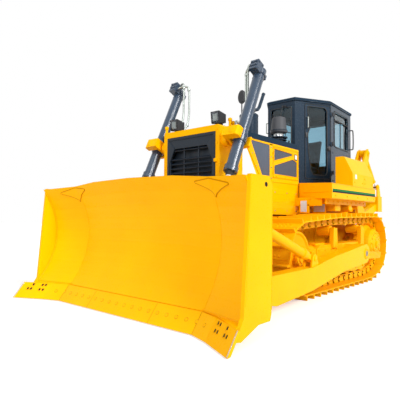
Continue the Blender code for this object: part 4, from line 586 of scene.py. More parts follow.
@pair("undercarriage")
def final_drive_bolts(bm):
    """Bolts of the final drive's covers and the sprocket's segments."""
    for away, radius, count, size in ((0.25, 0.235, 14, 0.014), (0.27, 0.14, 8, 0.011), (0.059, 0.375, 20, 0.013)):
        bolt_ring(bm, at(TRACK_X + away, *SPROCKET), X, radius, count, size)
    face = TRACK_X + 0.268
    turned(bm, at(face, *SPROCKET), X, [(0, 0.075), (0.02, 0.075), (0.03, 0.06)])
    turned(bm, at(face, SPROCKET[0] + 0.09, SPROCKET[1] - 0.10), X, [(0, 0.02), (0.02, 0.02)], 6)


@pair("undercarriage")
def drive_housings(bm):
    """Bolted housing of the drive shaft between the case and the sprocket."""
    turned(bm, at(0.495, *SPROCKET), X, [(0, 0.43), (0.09, 0.43), (0.11, 0.40), (0.22, 0.34), (0.25, 0.30)], 40)
    bolt_ring(bm, at(0.59, *SPROCKET), X, 0.414, 18, 0.009)


@pair("undercarriage")
def idler_caps(bm):
    """Axle cap with bolts, and guide blocks at the idler."""
    turned(bm, at(TRACK_X + 0.131, *IDLER), X, [(0, 0.125), (0.035, 0.12), (0.045, 0.085), (0.06, 0.08)], 28)
    bolt_ring(bm, at(TRACK_X + 0.166, *IDLER), X, 0.10, 6, 0.011)
    for st in (3.10, 3.30):
        block(bm, (TRACK_X + 0.151, TRACK_X + 0.185), (st - 0.05, st + 0.05), (0.545, 0.72), 0.006)
        bolts(bm, (TRACK_X + 0.185,), (st,), (0.58, 0.685), X, 0.012)


@pair("undercarriage")
def roller_fittings(bm):
    """Shaft collars and bolts of the track rollers, and the frame's cover plates."""
    for st in ROLLERS:
        turned(bm, at(TRACK_X + 0.151, st, ROLLER_Z + 0.03), X, [(0, 0.062), (0.02, 0.058), (0.03, 0.035)], 20)
        bolts(bm, (TRACK_X + 0.152,), (st - 0.085, st + 0.085), (0.43,), X, 0.011)
    block(bm, (TRACK_X + 0.149, TRACK_X + 0.162), (3.48, 4.30), (0.56, 0.75))
    bolts(bm, (TRACK_X + 0.162,), (3.54, 3.78, 4.02, 4.24), (0.59, 0.72), X, 0.011)
    block(bm, (TRACK_X - 0.10, TRACK_X + 0.10), (3.55, 3.90), (0.795, 0.83), 0.006)
    turned(bm, at(TRACK_X, 3.16, 0.69), Y, [(0, 0.09), (0.02, 0.11), (0.40, 0.11), (0.42, 0.09)])
    for st in (4.12, 5.38):
        place = at(TRACK_X + 0.17, st, 1.035)
        turned(bm, place, X, [(0, 0.062), (0.014, 0.058), (0.02, 0.03)], 20)
        bolt_ring(bm, place, X, 0.045, 4, 0.008)


# Push arms
@pair("yellow", "blade_frame")
def trunnion_cap(bm):
    turned(bm, at(1.599, *TRUNNION), X, [(0, 0.105), (0.004, 0.105), (0.008, 0.095)], 32)


@pair("steel", "blade_frame")
def trunnion_face(bm):
    turned(bm, at(1.604, *TRUNNION), X, [(0, 0.050), (0.010, 0.049), (0.016, 0.040)])


@pair("yellow", "blade_frame")
def arm_bolts(bm):
    """Bolts and pin heads of the push arm."""
    bolt_ring(bm, at(1.606, *TRUNNION), X, 0.078, 6, 0.010)
    for side in (-1, 1):
        turned(bm, at(1.5, 2.72, 0.665), X * side, [(0.069, 0.036), (0.082, 0.036), (0.086, 0.028)], 16)


@pair("yellow", "blade_frame")
def arm_welds(bm):
    """Weld beads along the box section and the end of the lug plates."""
    for low, high in (((1.66, 0.166), (2.55, 0.229)), ((2.62, 0.238), (3.72, 0.402)),
                      ((1.56, 0.535), (2.55, 0.546)), ((2.90, 0.590), (3.40, 0.660))):
        tube(bm, [at(1.595, *low), at(1.595, *high)], 0.007, 8)


# Blade
def on_blade(x, z, lift=0.0):
    """Point on the mouldboard's front face, lifted off it along its normal."""
    place, normal = hit("blade", at(x, -0.5, z), Y)
    return place + normal * lift


APEX = (1.36, 1.479)
GUSSET_TIPS = ((1.12, 1.650), (1.655, 1.607))
GUSSET_TOP = ((1.12, 1.668), (1.345, 1.690), (1.655, 1.622))
GUSSET_ACROSS, GUSSET_DOWN = 40, 3
GUSSET_XS = [GUSSET_TIPS[0][0] + (GUSSET_TIPS[1][0] - GUSSET_TIPS[0][0]) * (i / GUSSET_ACROSS)
             for i in range(GUSSET_ACROSS + 1)]


def gusset_low(x):
    """Height of the doubler's drawn-in lower side."""
    tip = GUSSET_TIPS[0] if x < APEX[0] else GUSSET_TIPS[1]
    share = min(1.0, abs(x - APEX[0]) / abs(tip[0] - APEX[0]))
    return APEX[1] + (tip[1] - APEX[1]) * share ** 0.5


def gusset_high(x):
    start, end = GUSSET_TOP[:2] if x < GUSSET_TOP[1][0] else GUSSET_TOP[1:]
    return start[1] + (end[1] - start[1]) * (x - start[0]) / (end[0] - start[0])


@pair("blade", "blade_frame", 25.0)
def blade_gusset(bm):
    """Pointed doubler at the sheet's top bend, its lower sides drawn in."""
    places = [(x, gusset_high(x) + (gusset_low(x) - gusset_high(x)) * (k / GUSSET_DOWN))
              for x in GUSSET_XS for k in range(GUSSET_DOWN + 1)]
    over, under = ([bm.verts.new(on_blade(x, z, lift)) for x, z in places] for lift in (0.008, -0.004))
    wide = GUSSET_DOWN + 1
    for i, k in product(range(GUSSET_ACROSS), range(GUSSET_DOWN)):
        first = i * wide + k
        for side in (over, under):
            bm.faces.new([side[c] for c in (first, first + 1, first + wide + 1, first + wide)])
    last = GUSSET_ACROSS * wide
    rim = [*range(0, last, wide), *range(last, last + GUSSET_DOWN), *range(last + GUSSET_DOWN, GUSSET_DOWN, -wide),
           *range(GUSSET_DOWN, 0, -1)]
    for a, b in zip(rim, rim[1:] + rim[:1]):
        bm.faces.new((over[a], over[b], under[b], under[a]))


@pair("weld", "blade_frame", 50.0)
def gusset_welds(bm):
    """Weld bead all round the doubler, darker with painted shade along its outline."""
    low = [on_blade(x, gusset_low(x) - 0.001, 0.005) for x in GUSSET_XS]
    high = [on_blade(x, gusset_high(x) + 0.001, 0.005) for x in reversed(GUSSET_XS)]
    tube(bm, low + high, 0.006, 6, closed=True)


@pair("blade", "blade_frame", 50.0)
def blade_welds(bm):
    """Weld beads down the mouldboard's bend, its side plate and its lower lip."""
    for x, z, over, up, count, lift, radius in ((1.325, 0.25, 0, 1.21, 24, 0.001, 0.003),
                                                (1.945, 0.26, 0, 1.38, 20, 0.004, 0.009),
                                                (1.30, 0.245, 0.64, 0, 12, 0.002, 0.006)):
        shares = (i / count for i in range(count + 1))
        tube(bm, [on_blade(x + over * share, z + up * share, lift) for share in shares], radius, 6)


def edge_point(x, share):
    """Place and normal on the cutting edge's front, share up from its low line."""
    return hit("cutting_edge" if x < 1.6 else "end_bit_left", at(x, -0.5, 0.013 + 0.216 * share), Y)


def edge_patch(bm, corners, thick):
    """Plate at (x, share) corners, sunk 4 mm into the cutting edge's front."""
    ring = [edge_point(*corner) for corner in corners]
    normal = ring[0][1]
    prism(bm, [place - normal * 0.004 for place, _ in ring], normal * thick)


PLOW_XS = [0.0775 + 0.155 * i for i in range(10)]


@pair("weld", "blade_frame")
def plow_bolt_gaps(bm):
    """Gaps round the cutting edge's sunk bolt heads, darker with painted shade."""
    for x in PLOW_XS:
        turned(bm, *edge_point(x, 0.55), [(-0.004, 0.026), (0.0012, 0.026), (0.0018, 0.024)], 16)


@pair("blade", "blade_frame")
def plow_bolts(bm):
    """Flat countersunk heads along the cutting edge."""
    for x in PLOW_XS:
        turned(bm, *edge_point(x, 0.55), [(-0.004, 0.019), (0.0035, 0.019), (0.005, 0.012), (0.0040, 0.009)], 16)


@pair("weld", "blade_frame")
def edge_joints(bm):
    """Joint lines between the cutting edge's lengths, darker with painted shade."""
    for x in (0.62, 1.325):
        edge_patch(bm, ((x - 0.004, 0.03), (x - 0.004, 0.97), (x + 0.004, 0.97), (x + 0.004, 0.03)), 0.0046)


BIT_HOLES = ((1.695, 0.87), (1.695, 0.57), (1.745, 0.87), (1.745, 0.57), (1.885, 0.87), (1.880, 0.60), (1.930, 0.60))


def pockets(half, lift):
    """Corners, lifted off the face, and normal of each square bolt pocket in the end bit."""
    for x, share in BIT_HOLES:
        place, normal = edge_point(x, share)
        along = (X - normal * normal.x).normalized()
        up = normal.cross(along)
        yield [place + along * a * half + up * b * half * 1.2 + normal * lift for a, b in SQUARE], normal


# Dark plates painted as the shade in the end bit's bolt pockets.
@pair("ink", "blade_frame")
def end_bit_holes(bm):
    for ring, normal in pockets(0.014, -0.004):
        prism(bm, ring, normal * 0.0048)


@pair("blade", "blade_frame")
def end_bit_rims(bm):
    for ring, _ in pockets(0.018, 0.001):
        tube(bm, ring, 0.0035, 6, closed=True)


@pair("ink", "blade_frame")
def side_plate_hole(bm):
    """Dark disc over the lifting hole near the side plate's top, painted shade of the hole."""
    turned(bm, at(1.9995, 0.735, 1.60), X, [(-0.003, 0.026), (0.0022, 0.026), (0.0022, 0.022)])


@pair("blade", "blade_frame")
def side_plate_trim(bm):
    """Weld beads on the end plate's outer face."""
    for low, high in (((0.375, 0.40), (0.462, 1.64)), ((0.842, 0.30), (0.853, 1.55))):
        tube(bm, [at(2.0005, *low), at(2.0005, *high)], 0.0035, 6)


@pair("zinc", "blade_frame")
def end_bit_painted_highlight(bm):
    """Bright steel strip along the end bit's outer end, a painted highlight."""
    edge_patch(bm, ((2.046, 0.03), (2.062, 0.03), (2.062, 0.97), (2.046, 0.97)), 0.006)


@pair("blade", "blade_frame")
def edge_nuts(bm):
    for i in range(10):
        bolt(bm, *hit("blade", at(0.16 + i * 0.15, 1.4, 0.14), (0, -1, 0)), 0.016)


@pair("yellow", "blade_frame")
def blade_pin_heads(bm):
    """Pin heads of the blade's lift, arm and brace lugs."""
    for x, st, z, half, radius in ((0.85, 1.10, 0.74, 0.11, 0.048), (1.5, 1.12, 0.34, 0.143, 0.055),
                                   (1.5, 1.09, 1.24, 0.14, 0.050)):
        for side in (-1, 1):
            turned(bm, at(x, st, z), X * side, [(half, radius), (half + 0.012, radius),
                                               (half + 0.018, radius * 0.75)], 20)


# Lift cylinders
LIFT_X = 0.85
YOKE = at(LIFT_X, 1.866, 2.387)
LIFT_RUN = (at(LIFT_X, 1.10, 0.74) - YOKE).normalized()
LIFT_FORE = Vector((0, LIFT_RUN.z, -LIFT_RUN.y))


def on_lift(along, fore=0.0, out=0.0):
    """Point by the cylinder: along it from the fork's pivot, in front of it and outwards."""
    return YOKE + LIFT_RUN * along + LIFT_FORE * fore + X * out


def lift_plate(bm, along, fore, out):
    """Block between pairs of distances in the cylinder's own directions."""
    prism(bm, [on_lift(along[i], fore[j], out[0]) for i, j in ((0, 0), (0, 1), (1, 1), (1, 0))],
          X * (out[1] - out[0]), 0.004)


def lift_bolts(bm, alongs, fores, outs, normal, size):
    for place in product(alongs, fores, outs):
        bolt(bm, on_lift(*place), normal, size)


@pair("barrel", "lift_barrel_")
def barrel_rings(bm):
    """Weld collars, gland nut and the bolts of gland and split collar."""
    for along, radius, wide in ((0.475, 0.1025, 0.014), (0.530, 0.1025, 0.022), (-1.135, 0.0975, 0.012),
                                (-0.062, 0.1005, 0.014), (0.048, 0.1005, 0.014), (-1.06, 0.0885, 0.012)):
        collar(bm, on_lift(along), LIFT_RUN, radius, wide, 32, 0.003, 0.003)
    bolt_ring(bm, on_lift(0.559), LIFT_RUN, 0.076, 8, 0.009)
    lift_bolts(bm, (-0.025, 0.025), (0.0,), (0.0975,), X, 0.011)


@pair("barrel", "lift_barrel_")
def cylinder_head_fittings(bm):
    """Flanges, ribs and bolts of the cylinder's port block and head cap."""
    for along in (-1.268, -1.205, -1.142):
        lift_plate(bm, (along, along + 0.034), (0.183, 0.196), (-0.062, 0.062))
    lift_bolts(bm, (-1.252, -1.187), (0.195,), (-0.045, 0.045), LIFT_FORE, 0.010)
    for along, fore in ((-1.245, 0.10), (-1.16, 0.13)):
        turned(bm, on_lift(along, fore, -0.068), -X, [(0, 0.032), (0.012, 0.032), (0.016, 0.026), (0.030, 0.026)], 6)
    lift_bolts(bm, (-1.25, -1.14), (0.065, 0.155), (0.069,), X, 0.011)
    lift_bolts(bm, (-1.279,), (0.075, 0.15), (-0.04, 0.04), -LIFT_RUN, 0.010)
    lift_plate(bm, (-1.195, -1.135), (-0.128, -0.118), (-0.035, 0.035))
    lift_bolts(bm, (-1.165,), (-0.119,), (-0.033, 0.033), -LIFT_FORE, 0.009)


@pair("rubber", "lift_barrel_")
def rod_wiper(bm):
    """Wiper cap under the gland."""
    turned(bm, on_lift(0.556), LIFT_RUN, [(0, 0.066), (0.030, 0.064), (0.040, 0.056), (0.058, 0.054)], 28)


# Tubes as (x, st, z): over the head, straight down, then in to the barrel above its fork
TUBE_PATHS = (
    ((0.775, 2.300, 3.558), (0.735, 2.300, 3.590), (0.700, 2.298, 3.585), (0.682, 2.295, 3.530),
     (0.680, 2.295, 3.40), (0.680, 2.295, 3.20), (0.680, 2.292, 3.05), (0.682, 2.262, 2.90),
     (0.700, 2.180, 2.76), (0.735, 2.085, 2.66), (0.775, 2.005, 2.58)),
    ((0.775, 2.237, 3.494), (0.720, 2.255, 3.520), (0.650, 2.320, 3.535), (0.610, 2.348, 3.495),
     (0.604, 2.352, 3.38), (0.604, 2.352, 3.20), (0.604, 2.349, 3.04), (0.610, 2.310, 2.86),
     (0.642, 2.200, 2.68), (0.690, 2.085, 2.58), (0.770, 1.975, 2.50)),
)


@pair("pipe", "lift_barrel_", 60.0)
def lift_tubes(bm):
    """Two steel tubes led from the head's ports down the cylinder's inner side."""
    for path in TUBE_PATHS:
        pipe(bm, spots(*path), 0.0165, 5, 12)
        for k in (3, 7):
            collar(bm, at(*path[k]), -Z, 0.026, 0.040, 6, 0.002)


@pair("barrel", "lift_barrel_")
def tube_clamps(bm):
    """Clamp block holding the tubes to the barrel."""
    foot = at(0.70, 2.115, 2.70)
    prism(bm, [foot + X * a - LIFT_FORE * b for a, b in ((0, 0), (0.09, 0), (0.09, 0.05), (0, 0.05))],
          LIFT_RUN * 0.035, 0.004)


@pair("yellow", "lift_barrel_")
def fork_trim(bm):
    """Bolts, pin cap and weld beads of the fork round the barrel."""
    lift_bolts(bm, (-0.052, 0.052), (0.13,), (0.099,), X, 0.010)
    lift_bolts(bm, (-0.052, 0.052), (-0.135,), (0.099,), X, 0.008)
    turned(bm, on_lift(0.0, 0.213), LIFT_FORE, [(0, 0.052), (0.006, 0.050), (0.009, 0.040)])
    turned(bm, on_lift(0.0, -0.152), -LIFT_FORE, [(0, 0.030), (0.010, 0.030), (0.012, 0.024)], 20)
    for fore in (0.105, 0.215):
        tube(bm, [on_lift(-0.072, fore, -0.158), on_lift(0.072, fore, -0.158)], 0.005, 6)


@pair("yellow")
def fork_pivot_rings(bm):
    """Weld ring where the fork's pivot leaves the guard."""
    turned(bm, at(0.572, 1.866, 2.387), X, [(0, 0.118), (0.006, 0.116), (0.012, 0.102)], 36)


@pair("ink")
def guard_side_bolts(bm):
    for st, z in ((1.855, 2.566), (1.915, 2.532)):
        bolt(bm, at(0.574, st, z), X, 0.013)


# Nose, hood and engine doors
GUARD_X = 0.575
PANEL_X = GUARD_X + 0.001
STACK = (0.0, 3.30)
CLEANER = (0.22, 3.98)


@one("yellow")
def guard_posts(bm):
    """Round-headed posts behind the guard's left corner and on its right front corner."""
    for x, st, high in ((0.548, 2.02, 0.150), (0.545, 2.095, 0.115), (-0.548, 1.765, 0.120)):
        turned(bm, at(x, st, 2.600), Z, [(0, 0.034), (0.014, 0.034), (0.018, 0.021), (high - 0.052, 0.021),
                                        (high - 0.044, 0.031), (high - 0.010, 0.031), (high, 0.020)], 20)


@pair("yellow")
def guard_bolts(bm):
    bolts(bm, (GUARD_X,), (1.80, 2.00, 2.22), (1.45, 1.75, 2.05), X, 0.010)
    bolts(bm, (0.538,), (1.736,), (1.42, 1.72, 2.02, 2.34, 2.54), -Y, 0.008)


@one("zinc", smooth=60.0)
def guard_top_pipes(bm):
    """Plated pipe bend with its nuts behind the guard's left corner."""
    pipe(bm, spots((0.535, 2.15, 2.60), (0.535, 2.155, 2.68), (0.53, 2.20, 2.725), (0.515, 2.29, 2.72),
                   (0.50, 2.36, 2.67), (0.49, 2.38, 2.60)), 0.024, 6, 12)
    for x, st in ((0.535, 2.15), (0.49, 2.38)):
        turned(bm, at(x, st, 2.606), Z, [(0, 0.032), (0.03, 0.032), (0.034, 0.028)], 6)


@one("grille")
def grille_frame(bm):
    """Raised dark surround of the grille with bevelled upper corners."""
    for x, z in (((-0.495, -0.455), (1.36, 2.51)), ((0.455, 0.495), (1.36, 2.51)), ((-0.455, 0.455), (2.47, 2.51)),
                 ((-0.455, 0.455), (1.36, 1.40))):
        block(bm, x, (1.728, 1.748), z)
    for side in (-1, 1):
        prism(bm, [at(side * x, 1.731, z) for x, z in ((0.34, 2.335), (0.47, 2.48), (0.47, 2.12), (0.435, 2.12))],
              Y * 0.018, 0.004)


@one("yellow")
def grille_hinges(bm):
    for z in (1.55, 2.06):
        block(bm, (0.492, 0.54), (1.70, 1.742), (z, z + 0.05), 0.005)


@pair("lens")
def lamp_lens(bm):
    slab(bm, (0.366, 0.494), (1.8205, 2.672), (1.804, 2.815), (0, -0.008, 0.001), 0.003)


@pair("pipe")
def lamp_reflector(bm):
    slab(bm, (0.385, 0.475), (1.8205, 2.690), (1.808, 2.790), (0, -0.003, 0.0005))


@pair("black")
def lamp_trim(bm):
    """Bezel, cooling ribs and bracket."""
    for x in (0.357, 0.497):
        sheet(bm, x, ((1.8200, 2.656), (1.80, 2.828), (1.788, 2.826), (1.808, 2.654)), 0.006, 0.002)
    for z in (2.656, 2.822):
        lean = (2.83 - z) * 0.1
        block(bm, (0.357, 0.503), (1.800 + lean, 1.816 + lean), (z - 0.004, z + 0.006), 0.002)
    for k in range(5):
        st = 1.85 + k * 0.022
        block(bm, (0.352, 0.508), (st, st + 0.008), (2.66, 2.80), 0.002)
    for x in (0.385, 0.475):
        block(bm, (x - 0.012, x + 0.012), (1.86, 1.95), (2.606, 2.63), 0.003)
    block(bm, (0.33, 0.53), (1.87, 1.94), (2.609, 2.617), 0.002)


def hood_sheet(bm, outline, thick, bevel=0.0015):
    """Thin plate on the hood's side from (st, z) points."""
    sheet(bm, PANEL_X - 0.003, outline, thick + 0.003, bevel)


@pair("mesh")
def hood_front_mesh(bm):
    """Dark panel behind the slanting front bar."""
    hood_sheet(bm, ((2.49, 2.505), (3.075, 2.472), (3.075, 1.86), (2.84, 1.96)), 0.004)


@pair("yellow")
def hood_bars(bm):
    """Slanting front bar, post and rail round the panels."""
    for outline in (((2.30, 2.51), (2.50, 2.51), (2.875, 1.90), (2.80, 1.90)),
                    ((3.075, 2.50), (3.165, 2.50), (3.165, 1.80), (3.075, 1.84)),
                    ((2.50, 2.512), (3.17, 2.512), (3.17, 2.478), (2.50, 2.49))):
        hood_sheet(bm, outline, 0.009)


@pair("white")
def hood_front_plate(bm):
    """Pale plate in front of the slanting bar, left blank."""
    hood_sheet(bm, ((2.30, 2.46), (2.335, 2.46), (2.70, 1.92), (2.30, 1.92)), 0.003)


@pair("yellow")
def hood_lower_panel(bm):
    hood_sheet(bm, ((2.33, 1.835), (4.04, 1.70), (4.04, 1.335), (2.33, 1.335)), 0.005, 0.003)


@pair("yellow")
def hood_lower_ribs(bm):
    """Pressed ribs, small cover and upper rail of the lower sheet."""
    for z in (1.66, 1.52, 1.42):
        tube(bm, spots((PANEL_X + 0.004, 2.40, z + 0.01), (PANEL_X + 0.004, 3.98, z - 0.01)), 0.004, 6)
    block(bm, (PANEL_X, PANEL_X + 0.011), (3.72, 3.92), (1.54, 1.68), 0.003)
    hood_sheet(bm, ((2.33, 1.86), (4.06, 1.86), (4.06, 1.885), (2.33, 1.885)), 0.007, 0.002)


@pair("steel")
def hood_bolts(bm):
    bolts(bm, (PANEL_X + 0.005,), (2.45, 2.85, 3.25, 3.65, 3.98), (1.375, 1.69), X, 0.008)
    bolts(bm, (PANEL_X + 0.009,), (3.12,), (1.92, 2.10, 2.28, 2.44), X, 0.008)
    for st, z in ((2.44, 2.46), (2.56, 2.28), (2.68, 2.09), (2.80, 1.93)):
        bolt(bm, at(PANEL_X + 0.009, st, z), X, 0.007)


@one("slate")
def hood_top_strips(bm):
    """Seams and round cover plates on the hood's top."""
    for st in (2.86, 3.62):
        block(bm, (-0.55, 0.55), (st, st + 0.02), (2.606, 2.614), 0.003)
    for x in (-0.42, 0.40):
        block(bm, (x, x + 0.02), (2.32, 4.05), (2.606, 2.613), 0.002)
    turned(bm, at(*CLEANER, 2.609), Z, [(0, 0.13), (0.014, 0.13), (0.018, 0.12)], 28)
    turned(bm, at(*STACK, 2.609), Z, [(0, 0.20), (0.014, 0.20), (0.018, 0.19)], 32)


@pair("mesh", "engine_door_")
def door_mesh(bm):
    """Perforated sheet in the engine door's two fields."""
    for field in (((3.24, 2.435), (3.24, 2.235), (3.858, 2.385), (3.858, 2.415)),
                  ((3.24, 2.005), (3.24, 2.145), (3.878, 2.315), (4.028, 2.275), (4.028, 2.005))):
        sheet(bm, GUARD_X - 0.0125, field, 0.004)


@pair("yellow", "engine_door_")
def door_trim(bm):
    """Folded rims and bolts of the engine door."""
    for outline, radius in ((((3.205, 1.95), (4.065, 1.95), (4.065, 2.46), (3.205, 2.46)), 0.005),
                            (((3.235, 2.44), (3.235, 2.225), (3.865, 2.38), (3.865, 2.42)), 0.004),
                            (((3.235, 2.0), (3.235, 2.15), (3.878, 2.32), (4.033, 2.28), (4.033, 2.0)), 0.004)):
        tube(bm, [at(GUARD_X + 0.001, *corner) for corner in outline], radius, 6, closed=True)
    for st, z in ((3.30, 1.965), (3.62, 1.965), (3.95, 1.965), (4.05, 2.12)):
        bolt(bm, at(GUARD_X + 0.003, st, z), X, 0.007)


@pair("black", "engine_door_")
def door_latch(bm):
    block(bm, (GUARD_X - 0.002, GUARD_X + 0.006), (3.93, 4.03), (2.31, 2.42), 0.003)


@pair("white", "engine_door_")
def door_plate(bm):
    """Small blank plate over the latch."""
    block(bm, (GUARD_X + 0.004, GUARD_X + 0.009), (3.945, 4.015), (2.325, 2.405), 0.002)


PIPE_TIP = at(0.0, 3.794, 3.625)
PIPE_RUN = (PIPE_TIP - at(0.0, 3.645, 3.34)).normalized()


@one("slate")
def exhaust_bands(bm):
    """Clamp bands of the silencer and the collar of its tail pipe."""
    for z in (2.655, 3.085):
        collar(bm, at(*STACK, z), Z, 0.1735, 0.020, 36, 0.0035, 0.003)
    block(bm, (-0.02, 0.02), (3.115, 3.14), (2.652, 2.682))
    collar(bm, PIPE_TIP - PIPE_RUN * 0.035, PIPE_RUN, 0.0350, 0.031, 20, 0.0025, 0.003)


@one("steel")
def exhaust_joint(bm):
    """Clamp where the tail pipe leaves the silencer."""
    way = at(0.0, 3.59, 3.28) - at(0.0, 3.40, 3.215)
    collar(bm, at(0.0, 3.430, 3.2265), way, 0.0375, 0.033, 20, 0.004, 0.003)


# Dark disc painted as the shade inside the tail pipe's bore.
@one("ink")
def exhaust_bore(bm):
    turned(bm, PIPE_TIP, PIPE_RUN, [(-0.004, 0.026), (0.0008, 0.026)], 20)


@one("slate")
def precleaner_flanges(bm):
    """Flange discs under the cap and the seam round its rim."""
    for z, radius in ((2.715, 0.150), (2.765, 0.165)):
        collar(bm, at(*CLEANER, z), Z, radius, 0.018, 36)
    collar(bm, at(*CLEANER, 2.902), Z, 0.1665, 0.012, 36, 0.0035, 0.003)


@one("zinc")
def precleaner_pipe(bm):
    """Plated pipe and clamp under the cap."""
    turned(bm, at(*CLEANER, 2.785), Z, [(0, 0.0875), (0.064, 0.0875), (0.067, 0.0865)], 32)
    collar(bm, at(*CLEANER, 2.815), Z, 0.0925, 0.022, 32, 0.0035)
    block(bm, (0.205, 0.235), (3.875, 3.90), (2.812, 2.840))


# Cab
CAB_CORNERS = ((0.31, 4.44), (0.723, 5.187), (0.646, 6.40))


def wall(start, end, along, z, away=0.0):
    """Point on a cab wall: along it from its start, up, and out of its face."""
    start, end = at(*start, 0), at(*end, 0)
    run = (end - start).normalized()
    point = start + run * along + Vector((run.y, -run.x, 0)) * away
    point.z = z
    return point


door_spot = partial(wall, *CAB_CORNERS[:2])
side_spot = partial(wall, *CAB_CORNERS[1:])


def front_spot(a, z, away=0.0):
    return at(a, 4.44 - away, z)


def rear_spot(a, z, away=0.0):
    return at(a, 6.40 + away, z)


def inset(outline, by):
    """Corners moved towards the outline's middle."""
    middle = sum((Vector(p) for p in outline), Vector((0, 0))) / len(outline)
    gaps = [middle - Vector(p) for p in outline]
    return [Vector(p) + Vector((math.copysign(by, gap.x), math.copysign(by, gap.y))) for p, gap in zip(outline, gaps)]


def rounded_outline(corners, radius, steps=5):
    """Outline of (a, z) corners with each corner rounded."""
    points = [Vector(corner) for corner in corners]
    out = []
    for before, here, after in zip(points[-1:] + points, points, points[1:] + points[:1]):
        back, on = before - here, after - here
        reach = min(radius, back.length / 2.2, on.length / 2.2)
        a, c = here + back.normalized() * reach, here + on.normalized() * reach
        out += [a * (1 - t) ** 2 + here * 2 * t * (1 - t) + c * t ** 2 for t in (k / steps for k in range(steps + 1))]
    return out


def pane(bm, spot, outline):
    """Glass 6 mm thick, 30 mm behind the wall's face."""
    points = [spot(*p, -0.03) for p in outline]
    prism(bm, points, spot(*outline[0], -0.024) - points[0])


def seal(bm, spot, outline, radius=0.011, away=0.002, rails=()):
    """Rubber round an outline, and straight rails as (start, end, away, radius)."""
    tube(bm, [spot(*p, away) for p in outline], radius, 8, closed=True)
    for start, end, off, thick in rails:
        tube(bm, [spot(*start, off), spot(*end, off)], thick, 8)


def surround(bm, spot, outline, wide):
    """Pressed frame round a window, raised 8 mm."""
    outer = rounded_outline(inset(outline, -wide), 0.05 + wide)
    inner = rounded_outline(inset(outline, 0.008), 0.05)
    rings = [[bm.verts.new(spot(*p, high)) for p in loop]
             for loop, high in ((outer, -0.004), (outer, 0.008), (inner, 0.008), (inner, -0.004))]
    for low, high in zip(rings, rings[1:] + rings[:1]):
        for i in range(len(outer)):
            j = (i + 1) % len(outer)
            bm.faces.new((low[i], low[j], high[j], high[i]))


def wall_plate(bm, spot, a, z, thick, bevel):
    """Raised plate on a cab wall."""
    ring = [spot(a[i], z[j]) for i, j in ((0, 0), (1, 0), (1, 1), (0, 1))]
    prism(bm, ring, spot(a[0], z[0], thick) - ring[0], bevel)


SIDE_RAILS = (((0.18, 3.30), (1.02, 3.30), 0.0, 0.013), ((0.60, 2.73), (0.60, 3.29), -0.012, 0.009))
WINDOWS = (
    # name, wall, corners, insets of glass and seal, width of the surround, the seal's rails, mirrored
    ("side", side_spot, ((0.17, 2.72), (1.03, 2.72), (1.03, 3.49), (0.17, 3.49)), 0.004, 0.012, 0.03, SIDE_RAILS, True),
    ("front", front_spot, ((-0.24, 2.35), (0.24, 2.35), (0.25, 3.48), (-0.25, 3.48)), 0.0, 0.01, 0.022, (), False),
    ("rear", rear_spot, ((-0.50, 2.45), (0.50, 2.45), (0.50, 3.46), (-0.50, 3.46)), 0.004, 0.012, 0.03, (), False),
)
for title, spot, corners, glass_in, seal_in, wide, rails, mirror in WINDOWS:
    add(title + "_glass", partial(pane, spot=spot, outline=inset(corners, glass_in)), "glass", mirror=mirror)
    add(title + "_seal", partial(seal, spot=spot, outline=rounded_outline(inset(corners, seal_in), 0.05),
                                 rails=rails), "rubber", smooth=60.0, mirror=mirror)
    add(title + "_surround", partial(surround, spot=spot, outline=corners, wide=wide), "slate", mirror=mirror)

DOOR_WINDOW = ((0.29, 3.50), (0.29, 3.36), (0.335, 3.25), (0.335, 3.05), (0.29, 2.94), (0.30, 2.60), (0.36, 2.20),
               (0.42, 2.11), (0.72, 2.11), (0.76, 2.16), (0.76, 3.44), (0.70, 3.50))
DOOR_RIM = ((0.236, 2.042), (0.834, 2.042), (0.834, 3.538), (0.236, 3.538))


@pair("glass", "cab_door_")
def door_glass(bm):
    pane(bm, door_spot, DOOR_WINDOW)


@pair("rubber", "cab_door_", 60.0)
def door_seal(bm):
    seal(bm, door_spot, rounded_outline(inset(DOOR_WINDOW, 0.006), 0.03, 4), 0.010)
    seal(bm, door_spot, rounded_outline(DOOR_RIM, 0.05), 0.006, 0.001)


@pair("pipe", "cab_door_", 60.0)
def door_handle(bm):
    """Pull bar beside the window's notch."""
    pipe(bm, [door_spot(*p) for p in ((0.285, 3.05, 0.0), (0.280, 3.055, 0.040), (0.280, 3.08, 0.046),
                                      (0.280, 3.24, 0.046), (0.280, 3.265, 0.040), (0.285, 3.27, 0.0))], 0.011, 5)


@pair("black", "cab_door_")
def door_lock(bm):
    """Latch plate at the door's rear edge and the stay knob at its front edge."""
    wall_plate(bm, door_spot, (0.765, 0.825), (2.62, 2.705), 0.035, 0.006)
    wall_plate(bm, door_spot, (0.245, 0.285), (2.86, 2.96), 0.014, 0.004)


@pair("black")
def cab_hinges(bm):
    """Hinge arms and stops on the cab's middle corner post."""
    for z in (2.16, 2.75, 3.36):
        turned(bm, side_spot(0.045, z - 0.02, 0.022), Z, [(0, 0.018), (0.075, 0.018), (0.08, 0.013)], 14)
        wall_plate(bm, side_spot, (0.02, 0.10), (z, z + 0.05), 0.014, 0.004)


@pair("black", smooth=60.0)
def grab_rail(bm):
    """Grab rail at the cab's rear corner."""
    pipe(bm, [side_spot(*p) for p in ((1.16, 2.80, 0.0), (1.17, 2.80, 0.05), (1.18, 2.83, 0.065), (1.18, 3.02, 0.07),
                                      (1.18, 3.20, 0.065), (1.17, 3.23, 0.05), (1.16, 3.23, 0.0))], 0.013)


@one("slate", smooth=60.0)
def roof_drip_rail(bm):
    middle = Vector((0.0, 5.45))
    path = []
    for x, st in CAB_CORNERS + tuple((-x, st) for x, st in reversed(CAB_CORNERS)):
        out = (Vector((x, st)) - middle).normalized() * 0.014
        path.append(at(x + out.x, st + out.y, 3.592))
    tube(bm, path, 0.010, 8, closed=True)


